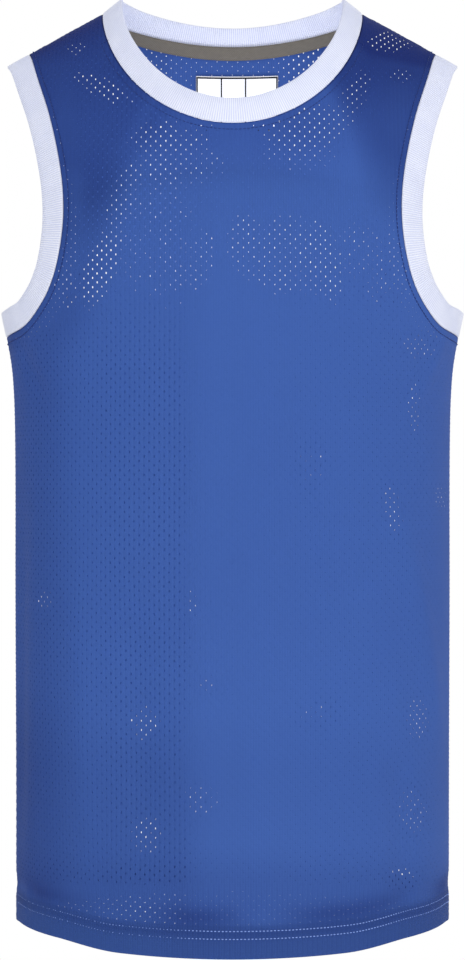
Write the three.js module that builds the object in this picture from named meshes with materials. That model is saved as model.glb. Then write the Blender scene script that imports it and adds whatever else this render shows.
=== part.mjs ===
// A sleeveless basketball jersey of an adult small, filled out as if worn, with nobody in it.
// Millimetres, +Z up, the front faces -Y, and +X is the wearer's left. The origin lies
// midway between the shoulder seams, where the wearer's shoulders carry the cloth.
import * as THREE from "three";

// Cloth thicknesses, and the open line left between two pieces at a seam.
const PANEL_WALL = 1.2;
const HEM_WALL = 2.4;
const BAND_WALL = 2;
const TRIM_WALL = 1;
const SEAM_GAP = 0.3;

// Torso form. Below the chest level each section is a rounded oblong, given by its half
// width, by how far the front and the back stand off the side seams, and by how square it is.
const CHEST_LEVEL = -195;
const TORSO_SECTIONS = [
  { level: -680, halfWidth: 165, front: 142, back: 136, squareness: 1.88 },
  { level: -560, halfWidth: 165, front: 138, back: 127, squareness: 2 },
  { level: -430, halfWidth: 165.3, front: 135, back: 119, squareness: 2.12 },
  { level: -310, halfWidth: 165.6, front: 133, back: 116, squareness: 2.08 },
  { level: -262, halfWidth: 167.5, front: 132, back: 117, squareness: 2 },
  { level: -232, halfWidth: 172.3, front: 131, back: 118, squareness: 1.92 },
  { level: -213, halfWidth: 177.5, front: 130, back: 118, squareness: 1.88 },
  { level: -195, halfWidth: 181, front: 129, back: 117, squareness: 1.87 },
];

// Shoulder form. Above the chest level the cloth closes in to a ridge that falls away from
// the neck, with a small flare where the neckband stands up.
const RIDGE_APEX = 74.1;
const RIDGE_SLOPE = 0.56;
const RIDGE_SOFTNESS = 40;
const RIDGE_FLARE = { height: 4, from: 100, to: 80 };
const SHOULDER_SQUARENESS = { upward: 1.42, forward: 2.15 };
const SHOULDER_RISE = 245;

// Neckline: round in front, nearly straight at the back.
const NECK_HALF_WIDTH = 98.5;
const NECK_TOP = 14.6;
const NECK_DROP = { front: 98, back: 15.5 };
const NECK_CURVE = { front: 1.1, back: 2 };
const NECKBAND = { width: 18.5, stand: THREE.MathUtils.degToRad(7) };

// Armhole seam as seen from the front, from the side seam up to the shoulder seam.
const ARMHOLE_SEAM = [
  { across: 169, level: -231.5 },
  { across: 154, level: -226 },
  { across: 142, level: -213 },
  { across: 133, level: -197 },
  { across: 127.5, level: -178 },
  { across: 124, level: -152 },
  { across: 124.6, level: -127 },
  { across: 129, level: -99 },
  { across: 137, level: -67 },
  { across: 147.5, level: -36 },
];
const UNDERARM_LEVEL = -232;
const SHOULDER_TIP = 156;
const ARMHOLE_BAND = { width: 19, stand: 0 };

// Hem: turned up inside, and a little longer at the centre than at the side seams.
const HEM_LEVEL = -674.5;
const HEM_DROP = 3;
const HEM_DROP_REACH = 0.5;
const HEM_DEPTH = 22;
const HEM_STEP = 0.6;

// Trim on the inside of the back neck.
const NECK_TAPE = { width: 11.5, offset: 0.8, ends: THREE.MathUtils.degToRad(80) };
const NECK_LABEL = { width: 66, height: 42, top: -21.5, offset: 0.8, columns: 6, lines: 4 };

// The largest soft folds, as lines on the cloth that fade out over a share of their length
// at each end. Across is measured along the cloth from the middle of its panel, and a
// negative height is a trough.
const FOLD_FADE = 1 / 3;
const FOLDS = [
  { side: "front", across: -22, top: -130, toAcross: -26, bottom: -640, spread: 13, height: 2.6 },
  { side: "front", across: -72, top: -400, toAcross: -66, bottom: -640, spread: 17, height: -3.4 },
  { side: "front", across: -118, top: -390, toAcross: -112, bottom: -670, spread: 14, height: 2.4 },
  { side: "front", across: -188, top: -300, toAcross: -206, bottom: -660, spread: 15, height: -3 },
  { side: "front", across: 54, top: -300, toAcross: 92, bottom: -480, spread: 15, height: -2.4 },
  { side: "front", across: 118, top: -330, toAcross: 196, bottom: -560, spread: 14, height: 2.8 },
  { side: "front", across: 128, top: -520, toAcross: 142, bottom: -670, spread: 15, height: -2.6 },
  { side: "front", across: 196, top: -225, toAcross: 132, bottom: -300, spread: 9, height: 2 },
  { side: "front", across: -200, top: -228, toAcross: -146, bottom: -290, spread: 9, height: -2 },
  { side: "back", across: -16, top: -150, toAcross: -8, bottom: -650, spread: 16, height: -3 },
  { side: "back", across: 58, top: -330, toAcross: 74, bottom: -670, spread: 15, height: 2.8 },
  { side: "back", across: -84, top: -280, toAcross: -72, bottom: -640, spread: 15, height: 2.6 },
  { side: "back", across: 138, top: -380, toAcross: 120, bottom: -660, spread: 16, height: -3 },
  { side: "back", across: -158, top: -330, toAcross: -176, bottom: -670, spread: 15, height: -2.6 },
  { side: "back", across: 190, top: -230, toAcross: 110, bottom: -330, spread: 10, height: 2 },
  { side: "back", across: -192, top: -232, toAcross: -120, bottom: -320, spread: 10, height: 2 },
];

// A folded band's free edge is rounded over a share of its thickness.
const BAND_ROUND = 0.45;

// How finely the cloth is divided, and the steps that its facing is measured over.
const HALF_COLUMNS = 13;
const BODY_ROWS = 15;
const CHEST_ROWS = 11;
const CHEST_ROW_EASE = 1.7;
const NECK_ROWS = 13;
const ARC_STEPS = 72;
const ROUTE_STEPS = 90;
const FACING_STEP = { share: 0.004, rise: 0.8 };

// Colours and finish.
const MESH_BLUE = 0x43609f;
const RIB_WHITE = 0xe6eaf6;
const TAPE_GREY = 0x77736e;
const LABEL_WHITE = 0xf0f1f5;
const CLOTH_ROUGHNESS = 0.85;

// A panel stops half a seam gap short of the side seam and of the shoulder seam.
const QUARTER_GIRTH = 240;
const SIDE_SHARE = 1 - SEAM_GAP / 2 / QUARTER_GIRTH;
const RIDGE_RISE = SHOULDER_RISE - SEAM_GAP / 2;

const smooth = (share) => THREE.MathUtils.smoothstep(share, 0, 1);
const outwardY = (side) => (side === "front" ? -1 : 1);

// A column of the section table at a level, eased between its rows.
function sectionSize(level, column) {
  const last = TORSO_SECTIONS.length - 1;
  if (level <= TORSO_SECTIONS[0].level) return TORSO_SECTIONS[0][column];
  if (level >= TORSO_SECTIONS[last].level) return TORSO_SECTIONS[last][column];
  const upper = TORSO_SECTIONS.findIndex((row) => row.level > level);
  const slope = (row) => {
    const below = TORSO_SECTIONS[Math.max(row - 1, 0)];
    const above = TORSO_SECTIONS[Math.min(row + 1, last)];
    return (above[column] - below[column]) / (above.level - below.level);
  };
  const low = TORSO_SECTIONS[upper - 1];
  const high = TORSO_SECTIONS[upper];
  const height = high.level - low.level;
  const t = (level - low.level) / height;
  const lead = t * t * (3 - 2 * t);
  const leave = t * (1 - t) * (1 - t) * height * slope(upper - 1);
  const arrive = t * t * (t - 1) * height * slope(upper);
  return low[column] * (1 - lead) + high[column] * lead + leave + arrive;
}

// Steps of equal angle along a rounded quarter, from its depth out to its width.
function quarterSteps(width, depth, outward, inward) {
  const steps = [{ out: 0, in: depth, length: 0 }];
  for (let i = 1; i <= ARC_STEPS; i++) {
    const turn = (Math.PI / 2) * (i / ARC_STEPS);
    const out = width * Math.sin(turn) ** (2 / outward);
    const back = i === ARC_STEPS ? 0 : depth * Math.cos(turn) ** (2 / inward);
    const before = steps[i - 1];
    const length = before.length + Math.hypot(out - before.out, back - before.in);
    steps.push({ out, in: back, length });
  }
  return steps;
}

// The place on a rounded quarter where one of its measures reaches a value.
function quarterPlace(steps, measure, value) {
  const next = steps.findIndex((step, i) => i > 0 && step[measure] >= value);
  const high = next < 0 ? steps.length - 1 : next;
  const [a, b] = [steps[high - 1], steps[high]];
  const t = THREE.MathUtils.clamp((value - a[measure]) / (b[measure] - a[measure]), 0, 1);
  const between = (key) => a[key] + (b[key] - a[key]) * t;
  return { out: between("out"), in: between("in"), length: between("length") };
}

const sectionCache = new Map();

// The section of one side at a level, as steps along the cloth from its middle.
function sectionSteps(side, level) {
  const key = side + level.toFixed(3);
  if (!sectionCache.has(key)) {
    const [width, depth, squareness] = ["halfWidth", side, "squareness"].map((column) =>
      sectionSize(level, column),
    );
    sectionCache.set(key, quarterSteps(width, depth, squareness, squareness));
  }
  return sectionCache.get(key);
}

// Height of the shoulder ridge at a distance from the middle.
function ridgeHeight(across) {
  const { height, from, to } = RIDGE_FLARE;
  const fall = RIDGE_SLOPE * Math.hypot(across, RIDGE_SOFTNESS);
  return RIDGE_APEX - fall + height * smooth((from - across) / (from - to));
}

// The rise from a place at the chest level to the ridge, as steps along the cloth.
function shoulderSteps(place) {
  const { upward, forward } = SHOULDER_SQUARENESS;
  const height = ridgeHeight(place.out) - CHEST_LEVEL;
  return quarterSteps(height, Math.max(place.in, SEAM_GAP), upward, forward);
}

// A point of the plain cloth. Share runs from -1 to 1 between the side seams, and rise is
// the distance above the chest level, which ends at the ridge with SHOULDER_RISE.
function plainPoint(side, share, rise) {
  const level = CHEST_LEVEL + Math.min(rise, 0);
  const steps = sectionSteps(side, level);
  const length = Math.abs(share) * steps[ARC_STEPS].length;
  const place = quarterPlace(steps, "length", length);
  const x = Math.sign(share) * place.out;
  if (rise <= 0) return new THREE.Vector3(x, outwardY(side) * place.in, level);
  const profile = shoulderSteps(place);
  const climb = (rise / SHOULDER_RISE) * profile[ARC_STEPS].length;
  const up = quarterPlace(profile, "length", climb);
  return new THREE.Vector3(x, outwardY(side) * up.in, CHEST_LEVEL + up.out);
}

// How far the folds lift or sink the cloth at a place.
function foldHeight(side, across, level) {
  let total = 0;
  for (const fold of FOLDS) {
    if (fold.side !== side) continue;
    const run = new THREE.Vector2(fold.toAcross - fold.across, fold.bottom - fold.top);
    const from = new THREE.Vector2(across - fold.across, level - fold.top);
    const along = from.dot(run) / run.lengthSq();
    const off = Math.abs(from.cross(run)) / run.length() / fold.spread;
    const fade = smooth(along / FOLD_FADE) * smooth((1 - along) / FOLD_FADE);
    total += fold.height * fade * Math.exp(-off * off);
  }
  return total;
}

// Outward direction of a surface function at a place.
function facing(surface, share, rise) {
  const left = surface(Math.max(share - FACING_STEP.share, -1), rise);
  const right = surface(Math.min(share + FACING_STEP.share, 1), rise);
  const low = surface(share, rise - FACING_STEP.rise);
  const high = surface(share, Math.min(rise + FACING_STEP.rise, SHOULDER_RISE));
  return right.sub(left).cross(high.sub(low)).normalize();
}

// A point of the folded cloth and the direction that it faces.
function clothPlace(side, share, rise) {
  const flip = -outwardY(side);
  const plain = (s, r) => plainPoint(side, s, r);
  const point = plain(share, rise);
  const normal = facing(plain, share, rise).multiplyScalar(flip);
  const steps = sectionSteps(side, CHEST_LEVEL + Math.min(rise, 0));
  const across = share * steps[ARC_STEPS].length;
  point.addScaledVector(normal, foldHeight(side, across, point.z));
  const atSeam = Math.abs(share) >= SIDE_SHARE || rise >= RIDGE_RISE;
  return { point, normal: atSeam ? normal.setY(0).normalize() : normal };
}

// Share and rise of the place that is seen from the front at a distance and a height.
function seenPlace(side, across, height) {
  const level = Math.min(height, CHEST_LEVEL);
  const steps = sectionSteps(side, level);
  const place = quarterPlace(steps, "out", across);
  const share = place.length / steps[ARC_STEPS].length;
  if (height <= CHEST_LEVEL) return { share, rise: height - CHEST_LEVEL };
  const profile = shoulderSteps(place);
  const climb = quarterPlace(profile, "out", height - CHEST_LEVEL).length;
  return { share, rise: (SHOULDER_RISE * climb) / profile[ARC_STEPS].length };
}

// Places at equal lengths along a route over the cloth.
function evenPlaces(side, route, count) {
  const points = route.map(({ share, rise }) => plainPoint(side, share, rise));
  const lengths = [0];
  for (let i = 1; i < points.length; i++) {
    lengths.push(lengths[i - 1] + points[i].distanceTo(points[i - 1]));
  }
  return Array.from({ length: count + 1 }, (_, i) => {
    const wanted = (lengths.at(-1) * i) / count;
    const next = Math.max(lengths.findIndex((length) => length >= wanted), 1);
    const t = (wanted - lengths[next - 1]) / (lengths[next] - lengths[next - 1]);
    const [a, b] = [route[next - 1], route[next]];
    const { lerp } = THREE.MathUtils;
    return { share: lerp(a.share, b.share, t), rise: lerp(a.rise, b.rise, t) };
  });
}

// The neck seam of one side, from the middle to the shoulder seam.
function neckSeam(side) {
  const route = Array.from({ length: ROUTE_STEPS + 1 }, (_, i) => {
    const turn = (Math.PI / 2) * (i / ROUTE_STEPS);
    const across = NECK_HALF_WIDTH * Math.sin(turn);
    const height = NECK_TOP - NECK_DROP[side] * Math.cos(turn) ** NECK_CURVE[side];
    const place = seenPlace(side, across, height);
    return i === ROUTE_STEPS ? { share: place.share, rise: RIDGE_RISE } : place;
  });
  return evenPlaces(side, route, NECK_ROWS);
}

// The armhole seam of one side, from the side seam to the shoulder seam.
function armholeSeam(side) {
  const reach = sectionSteps(side, CHEST_LEVEL)[ARC_STEPS].length;
  const tip = seenPlace(side, SHOULDER_TIP, ridgeHeight(SHOULDER_TIP));
  const places = [
    { share: SIDE_SHARE, rise: UNDERARM_LEVEL - CHEST_LEVEL },
    ...ARMHOLE_SEAM.map((row) => seenPlace(side, row.across, row.level)),
    { share: tip.share, rise: RIDGE_RISE },
  ];
  const route = new THREE.CatmullRomCurve3(
    places.map(({ share, rise }) => new THREE.Vector3(share * reach, rise, 0)),
  );
  const fine = route.getSpacedPoints(ROUTE_STEPS * 2);
  const along = fine.map((at) => ({ share: at.x / reach, rise: at.y }));
  return evenPlaces(side, along, CHEST_ROWS + NECK_ROWS);
}

// Rows of one half of a panel, each a list of places from the middle, or the neck seam, out
// to the side seam or the armhole seam.
function halfRows(side) {
  const rows = [];
  const spread = (inner, outer) =>
    Array.from({ length: HALF_COLUMNS + 1 }, (_, column) => {
      const t = column / HALF_COLUMNS;
      const share = THREE.MathUtils.lerp(inner.share, outer.share, t);
      return { share, rise: THREE.MathUtils.lerp(inner.rise, outer.rise, t) };
    });
  const bodyHeight = UNDERARM_LEVEL - HEM_LEVEL;
  const turnTop = HEM_DEPTH / bodyHeight;
  const heights = [0, turnTop / 2, turnTop, turnTop + HEM_STEP / bodyHeight];
  for (let i = 1; i < BODY_ROWS; i++) {
    heights.push(THREE.MathUtils.lerp(turnTop, 1, i / BODY_ROWS));
  }
  for (const height of heights) {
    const level = HEM_LEVEL + bodyHeight * height - CHEST_LEVEL;
    const row = spread({ share: 0, rise: level }, { share: SIDE_SHARE, rise: level });
    for (const place of row) {
      place.rise -= HEM_DROP * (1 - place.share ** 2) * smooth(1 - height / HEM_DROP_REACH);
      place.turned = height <= turnTop;
    }
    rows.push(row);
  }
  const neck = neckSeam(side);
  const armhole = armholeSeam(side);
  const low = UNDERARM_LEVEL - CHEST_LEVEL;
  for (let i = 0; i < CHEST_ROWS; i++) {
    const rise = THREE.MathUtils.lerp(low, neck[0].rise, (i / CHEST_ROWS) ** CHEST_ROW_EASE);
    rows.push(spread({ share: 0, rise }, armhole[i]));
  }
  neck.forEach((place, i) => rows.push(spread(place, armhole[CHEST_ROWS + i])));
  return rows;
}

// A closed geometry from its points and triangles, turned to face outwards.
function closedGeometry(points, triangles) {
  let volume = 0;
  for (const [a, b, c] of triangles) {
    volume += points[a].dot(points[b].clone().cross(points[c]));
  }
  const faces = volume < 0 ? triangles.map(([a, b, c]) => [a, c, b]) : triangles;
  const geometry = new THREE.BufferGeometry();
  geometry.setAttribute(
    "position",
    new THREE.Float32BufferAttribute(points.flatMap((point) => point.toArray()), 3),
  );
  geometry.setIndex(faces.flat());
  geometry.computeVertexNormals();
  return geometry;
}

// A wall from an outer sheet and the matching inner points, closed along its free edges.
function wallGeometry(outer, inner, triangles) {
  const count = outer.length;
  const closed = [...triangles, ...triangles.map(([a, b, c]) => [c + count, b + count, a + count])];
  const edges = new Set();
  for (const [a, b, c] of triangles) {
    for (const edge of [[a, b], [b, c], [c, a]]) edges.add(edge.join());
  }
  for (const edge of edges) {
    const [a, b] = edge.split(",").map(Number);
    if (edges.has([b, a].join())) continue;
    closed.push([b, a, a + count], [b, a + count, b + count]);
  }
  return closedGeometry([...outer, ...inner], closed);
}

// The wall of a whole panel. Its halves share the centre line up to the neck.
function panelGeometry(side) {
  const rows = halfRows(side);
  const split = rows.length - NECK_ROWS - 1;
  const outer = [];
  const inner = [];
  const numbers = new Map();
  const corner = (half, row, column) => {
    const centre = column === 0 && row <= split;
    const key = [centre ? 1 : half, row, column].join();
    if (!numbers.has(key)) {
      const { share, rise, turned } = rows[row][column];
      const { point, normal } = clothPlace(side, half * share, rise);
      numbers.set(key, outer.length);
      outer.push(point);
      inner.push(point.clone().addScaledVector(normal, turned ? -HEM_WALL : -PANEL_WALL));
    }
    return numbers.get(key);
  };
  const triangles = [];
  for (const half of [-1, 1]) {
    for (let row = 0; row < rows.length - 1; row++) {
      for (let column = 0; column < HALF_COLUMNS; column++) {
        const a = corner(half, row, column);
        const b = corner(half, row, column + 1);
        const c = corner(half, row + 1, column + 1);
        const d = corner(half, row + 1, column);
        const pair = half > 0 ? [[a, b, c], [a, c, d]] : [[a, c, b], [a, d, c]];
        triangles.push(...pair);
      }
    }
  }
  return wallGeometry(outer, inner, triangles);
}

// Where a band stands at each station of its seam: the seam's point, the way that the band
// goes from it into the opening, and the way that it faces.
function bandStations(seam, stand) {
  const middle = new THREE.Vector3();
  for (const { point } of seam) middle.addScaledVector(point, 1 / seam.length);
  return seam.map(({ point, normal }, i) => {
    const before = seam[(i + seam.length - 1) % seam.length].point;
    const after = seam[(i + 1) % seam.length].point;
    const inCloth = after.clone().sub(before).cross(normal).normalize();
    if (inCloth.dot(middle.clone().sub(point)) < 0) inCloth.negate();
    const turned = (a, b) =>
      a.clone().multiplyScalar(Math.cos(stand)).addScaledVector(b, Math.sin(stand));
    const away = turned(inCloth, normal);
    const face = turned(normal, inCloth.clone().negate());
    return { point, away, face };
  });
}

// A ribbed band, folded double, sewn to a closed seam.
function bandGeometry(seam, sizes) {
  const top = (BAND_WALL - PANEL_WALL) / 2;
  const round = BAND_WALL * BAND_ROUND;
  const { width } = sizes;
  const outline = [
    [SEAM_GAP, top],
    [width / 2, top],
    [width - round, top],
    [width, top - round],
    [width, top - BAND_WALL + round],
    [width - round, top - BAND_WALL],
    [width / 2, top - BAND_WALL],
    [SEAM_GAP, top - BAND_WALL],
  ];
  const points = [];
  const triangles = [];
  const stations = bandStations(seam, sizes.stand);
  for (const { point, away, face } of stations) {
    for (const [out, lift] of outline) {
      points.push(point.clone().addScaledVector(away, out).addScaledVector(face, lift));
    }
  }
  const across = outline.length;
  for (let i = 0; i < stations.length; i++) {
    for (let j = 0; j < across; j++) {
      const a = i * across + j;
      const b = i * across + ((j + 1) % across);
      const next = ((i + 1) % stations.length) * across;
      const c = next + ((j + 1) % across);
      triangles.push([a, b, c], [a, c, next + j]);
    }
  }
  return closedGeometry(points, triangles);
}

// Both sides' seams joined to one ring, meeting on the line between the panels.
function neckRing() {
  const quarter = (side, half) =>
    neckSeam(side).map(({ share, rise }, i) =>
      clothPlace(side, half * share, i === NECK_ROWS ? SHOULDER_RISE : rise),
    );
  const [frontLeft, frontRight] = [quarter("front", 1), quarter("front", -1)];
  const [backLeft, backRight] = [quarter("back", 1), quarter("back", -1)];
  return [
    ...frontLeft.slice(0, -1),
    ...backLeft.slice(1).reverse(),
    ...backRight.slice(0, -1),
    ...frontRight.slice(1).reverse(),
  ];
}

// The armhole seam of one half, forward from the underarm and back down behind.
function armholeRing(half) {
  const last = CHEST_ROWS + NECK_ROWS;
  const edge = (side) =>
    armholeSeam(side).map(({ share, rise }, i) =>
      clothPlace(side, half * (i === 0 ? 1 : share), i === last ? SHOULDER_RISE : rise),
    );
  return [...edge("front"), ...edge("back").slice(1, -1).reverse()];
}

// A thin strip laid inside the back panel, from rows of places that run along it.
function trimGeometry(rows, offset) {
  const outer = [];
  const inner = [];
  for (const row of rows) {
    for (const { point, normal } of row) {
      outer.push(point.clone().addScaledVector(normal, -PANEL_WALL - offset));
      inner.push(point.clone().addScaledVector(normal, -PANEL_WALL - offset - TRIM_WALL));
    }
  }
  const across = rows[0].length;
  const triangles = [];
  for (let i = 0; i < rows.length - 1; i++) {
    for (let j = 0; j < across - 1; j++) {
      const a = i * across + j;
      triangles.push([a, a + 1, a + across + 1], [a, a + across + 1, a + across]);
    }
  }
  return wallGeometry(outer, inner, triangles);
}

// Tape that covers the back neck seam from shoulder to shoulder.
function tapeRows() {
  const stations = NECK_ROWS * 2;
  const rows = [];
  for (let i = 0; i <= stations; i++) {
    const turn = NECK_TAPE.ends * ((2 * i) / stations - 1);
    const across = NECK_HALF_WIDTH * Math.sin(Math.abs(turn));
    const height = NECK_TOP - NECK_DROP.back * Math.cos(turn) ** 2;
    const top = seenPlace("back", across, height);
    const chest = quarterPlace(sectionSteps("back", CHEST_LEVEL), "out", across);
    const perLength = SHOULDER_RISE / shoulderSteps(chest)[ARC_STEPS].length;
    rows.push(
      [SEAM_GAP, NECK_TAPE.width / 2, NECK_TAPE.width].map((down) =>
        clothPlace("back", Math.sign(turn) * top.share, top.rise - down * perLength),
      ),
    );
  }
  return rows;
}

// Label sewn to the back panel below the tape.
function labelRows() {
  const { columns, lines } = NECK_LABEL;
  const rows = [];
  for (let i = 0; i <= columns; i++) {
    const across = NECK_LABEL.width * (i / columns - 0.5);
    const row = [];
    for (let j = 0; j <= lines; j++) {
      const height = NECK_LABEL.top - NECK_LABEL.height * (j / lines);
      const { share, rise } = seenPlace("back", Math.abs(across), height);
      row.push(clothPlace("back", Math.sign(across) * share, rise));
    }
    rows.push(row);
  }
  return rows;
}

// A named sub-part with its cloth.
function piece(name, geometry, color) {
  const material = new THREE.MeshStandardMaterial({
    color,
    roughness: CLOTH_ROUGHNESS,
    metalness: 0,
  });
  const mesh = new THREE.Mesh(geometry, material);
  mesh.name = name;
  return mesh;
}

const jersey = new THREE.Group();
jersey.add(
  piece("front_panel", panelGeometry("front"), MESH_BLUE),
  piece("back_panel", panelGeometry("back"), MESH_BLUE),
  piece("neckband", bandGeometry(neckRing(), NECKBAND), RIB_WHITE),
  piece("armhole_band_left", bandGeometry(armholeRing(1), ARMHOLE_BAND), RIB_WHITE),
  piece("armhole_band_right", bandGeometry(armholeRing(-1), ARMHOLE_BAND), RIB_WHITE),
  piece("neck_tape", trimGeometry(tapeRows(), NECK_TAPE.offset), TAPE_GREY),
  piece("neck_label", trimGeometry(labelRows(), NECK_LABEL.offset), LABEL_WHITE),
);

export default jersey;
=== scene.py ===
"""Looks of a sleeveless mesh basketball jersey, filled out as if worn, with nobody in it.

Sizes are in millimetres and turned to metres as each mesh is made. The front faces -Y, +Z is
up and +X is the wearer's left. A place on the cloth is given by its distance along the cloth
from the middle of its panel, and by its climb along the cloth from the chest level.
"""

import logging
import math
from dataclasses import dataclass, field, fields
from enum import Enum
from typing import Callable, Optional

import bpy
import numpy as np
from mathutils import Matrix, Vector
from mathutils.geometry import delaunay_2d_cdt


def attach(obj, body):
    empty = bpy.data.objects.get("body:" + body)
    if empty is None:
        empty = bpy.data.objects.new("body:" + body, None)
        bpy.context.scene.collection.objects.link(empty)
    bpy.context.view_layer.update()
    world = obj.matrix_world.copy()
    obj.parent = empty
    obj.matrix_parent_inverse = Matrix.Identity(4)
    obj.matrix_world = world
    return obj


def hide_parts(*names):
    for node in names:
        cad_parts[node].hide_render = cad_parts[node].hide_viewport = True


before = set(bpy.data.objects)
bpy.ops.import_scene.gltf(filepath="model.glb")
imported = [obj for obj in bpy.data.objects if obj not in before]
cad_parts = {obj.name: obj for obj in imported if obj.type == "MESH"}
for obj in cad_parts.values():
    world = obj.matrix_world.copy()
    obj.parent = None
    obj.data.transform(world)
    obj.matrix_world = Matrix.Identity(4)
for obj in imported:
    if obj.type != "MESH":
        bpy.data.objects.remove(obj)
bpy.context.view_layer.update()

LOG = logging.getLogger("jersey")
MM = 0.001
BODY = "root"
SEED = 23


class Side(Enum):
    """Which of the two panels a place lies on, with the way that it faces along Y."""

    FRONT = -1
    BACK = 1


class Half(Enum):
    """The wearer's left or right half, with its way along X."""

    LEFT = 1
    RIGHT = -1


def smooth(share: np.ndarray) -> np.ndarray:
    """Eases 0 to 1 with flat ends.

    Args:
        share: Numbers, held to the range from 0 to 1.

    Returns:
        The eased numbers.
    """
    held = np.clip(share, 0.0, 1.0)
    return held * held * (3 - 2 * held)


def rise(value: np.ndarray, start: float, end: float) -> np.ndarray:
    """Eases from 0 at one value to 1 at another, which may be the lower of the two."""
    return smooth((value - start) / (end - start))


def bell(value: np.ndarray, middle: float, spread: float) -> np.ndarray:
    """A soft hump of height 1 round a value."""
    return np.exp(-(((value - middle) / spread) ** 2))


def unit(vectors: np.ndarray) -> np.ndarray:
    """Scales each row of a list of vectors to a length of one."""
    return vectors / np.maximum(np.linalg.norm(vectors, axis=-1, keepdims=True), 1e-12)


def lengths_along(points: np.ndarray) -> np.ndarray:
    """Distance along a line of points from its first point to each of them."""
    steps = np.linalg.norm(np.diff(points, axis=0), axis=1)
    return np.concatenate([[0.0], np.cumsum(steps)])


def resample(points: np.ndarray, count: int) -> np.ndarray:
    """Spreads places evenly along a line of points.

    Args:
        points: Rows of coordinates along the line.
        count: How many places are wanted.

    Returns:
        The places, with the line's two ends among them.
    """
    along = lengths_along(points)
    wanted = np.linspace(0, along[-1], count)
    return np.stack([np.interp(wanted, along, column) for column in points.T], axis=1)


@dataclass(frozen=True)
class Section:
    """A level cut through the body of the jersey."""

    level: float
    half_width: float
    front: float
    back: float
    squareness: float


@dataclass(frozen=True)
class Fold:
    """A soft fold along a line on the cloth; a negative height is a trough."""

    side: Side
    across: float
    top: float
    to_across: float
    bottom: float
    spread: float
    height: float


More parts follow.
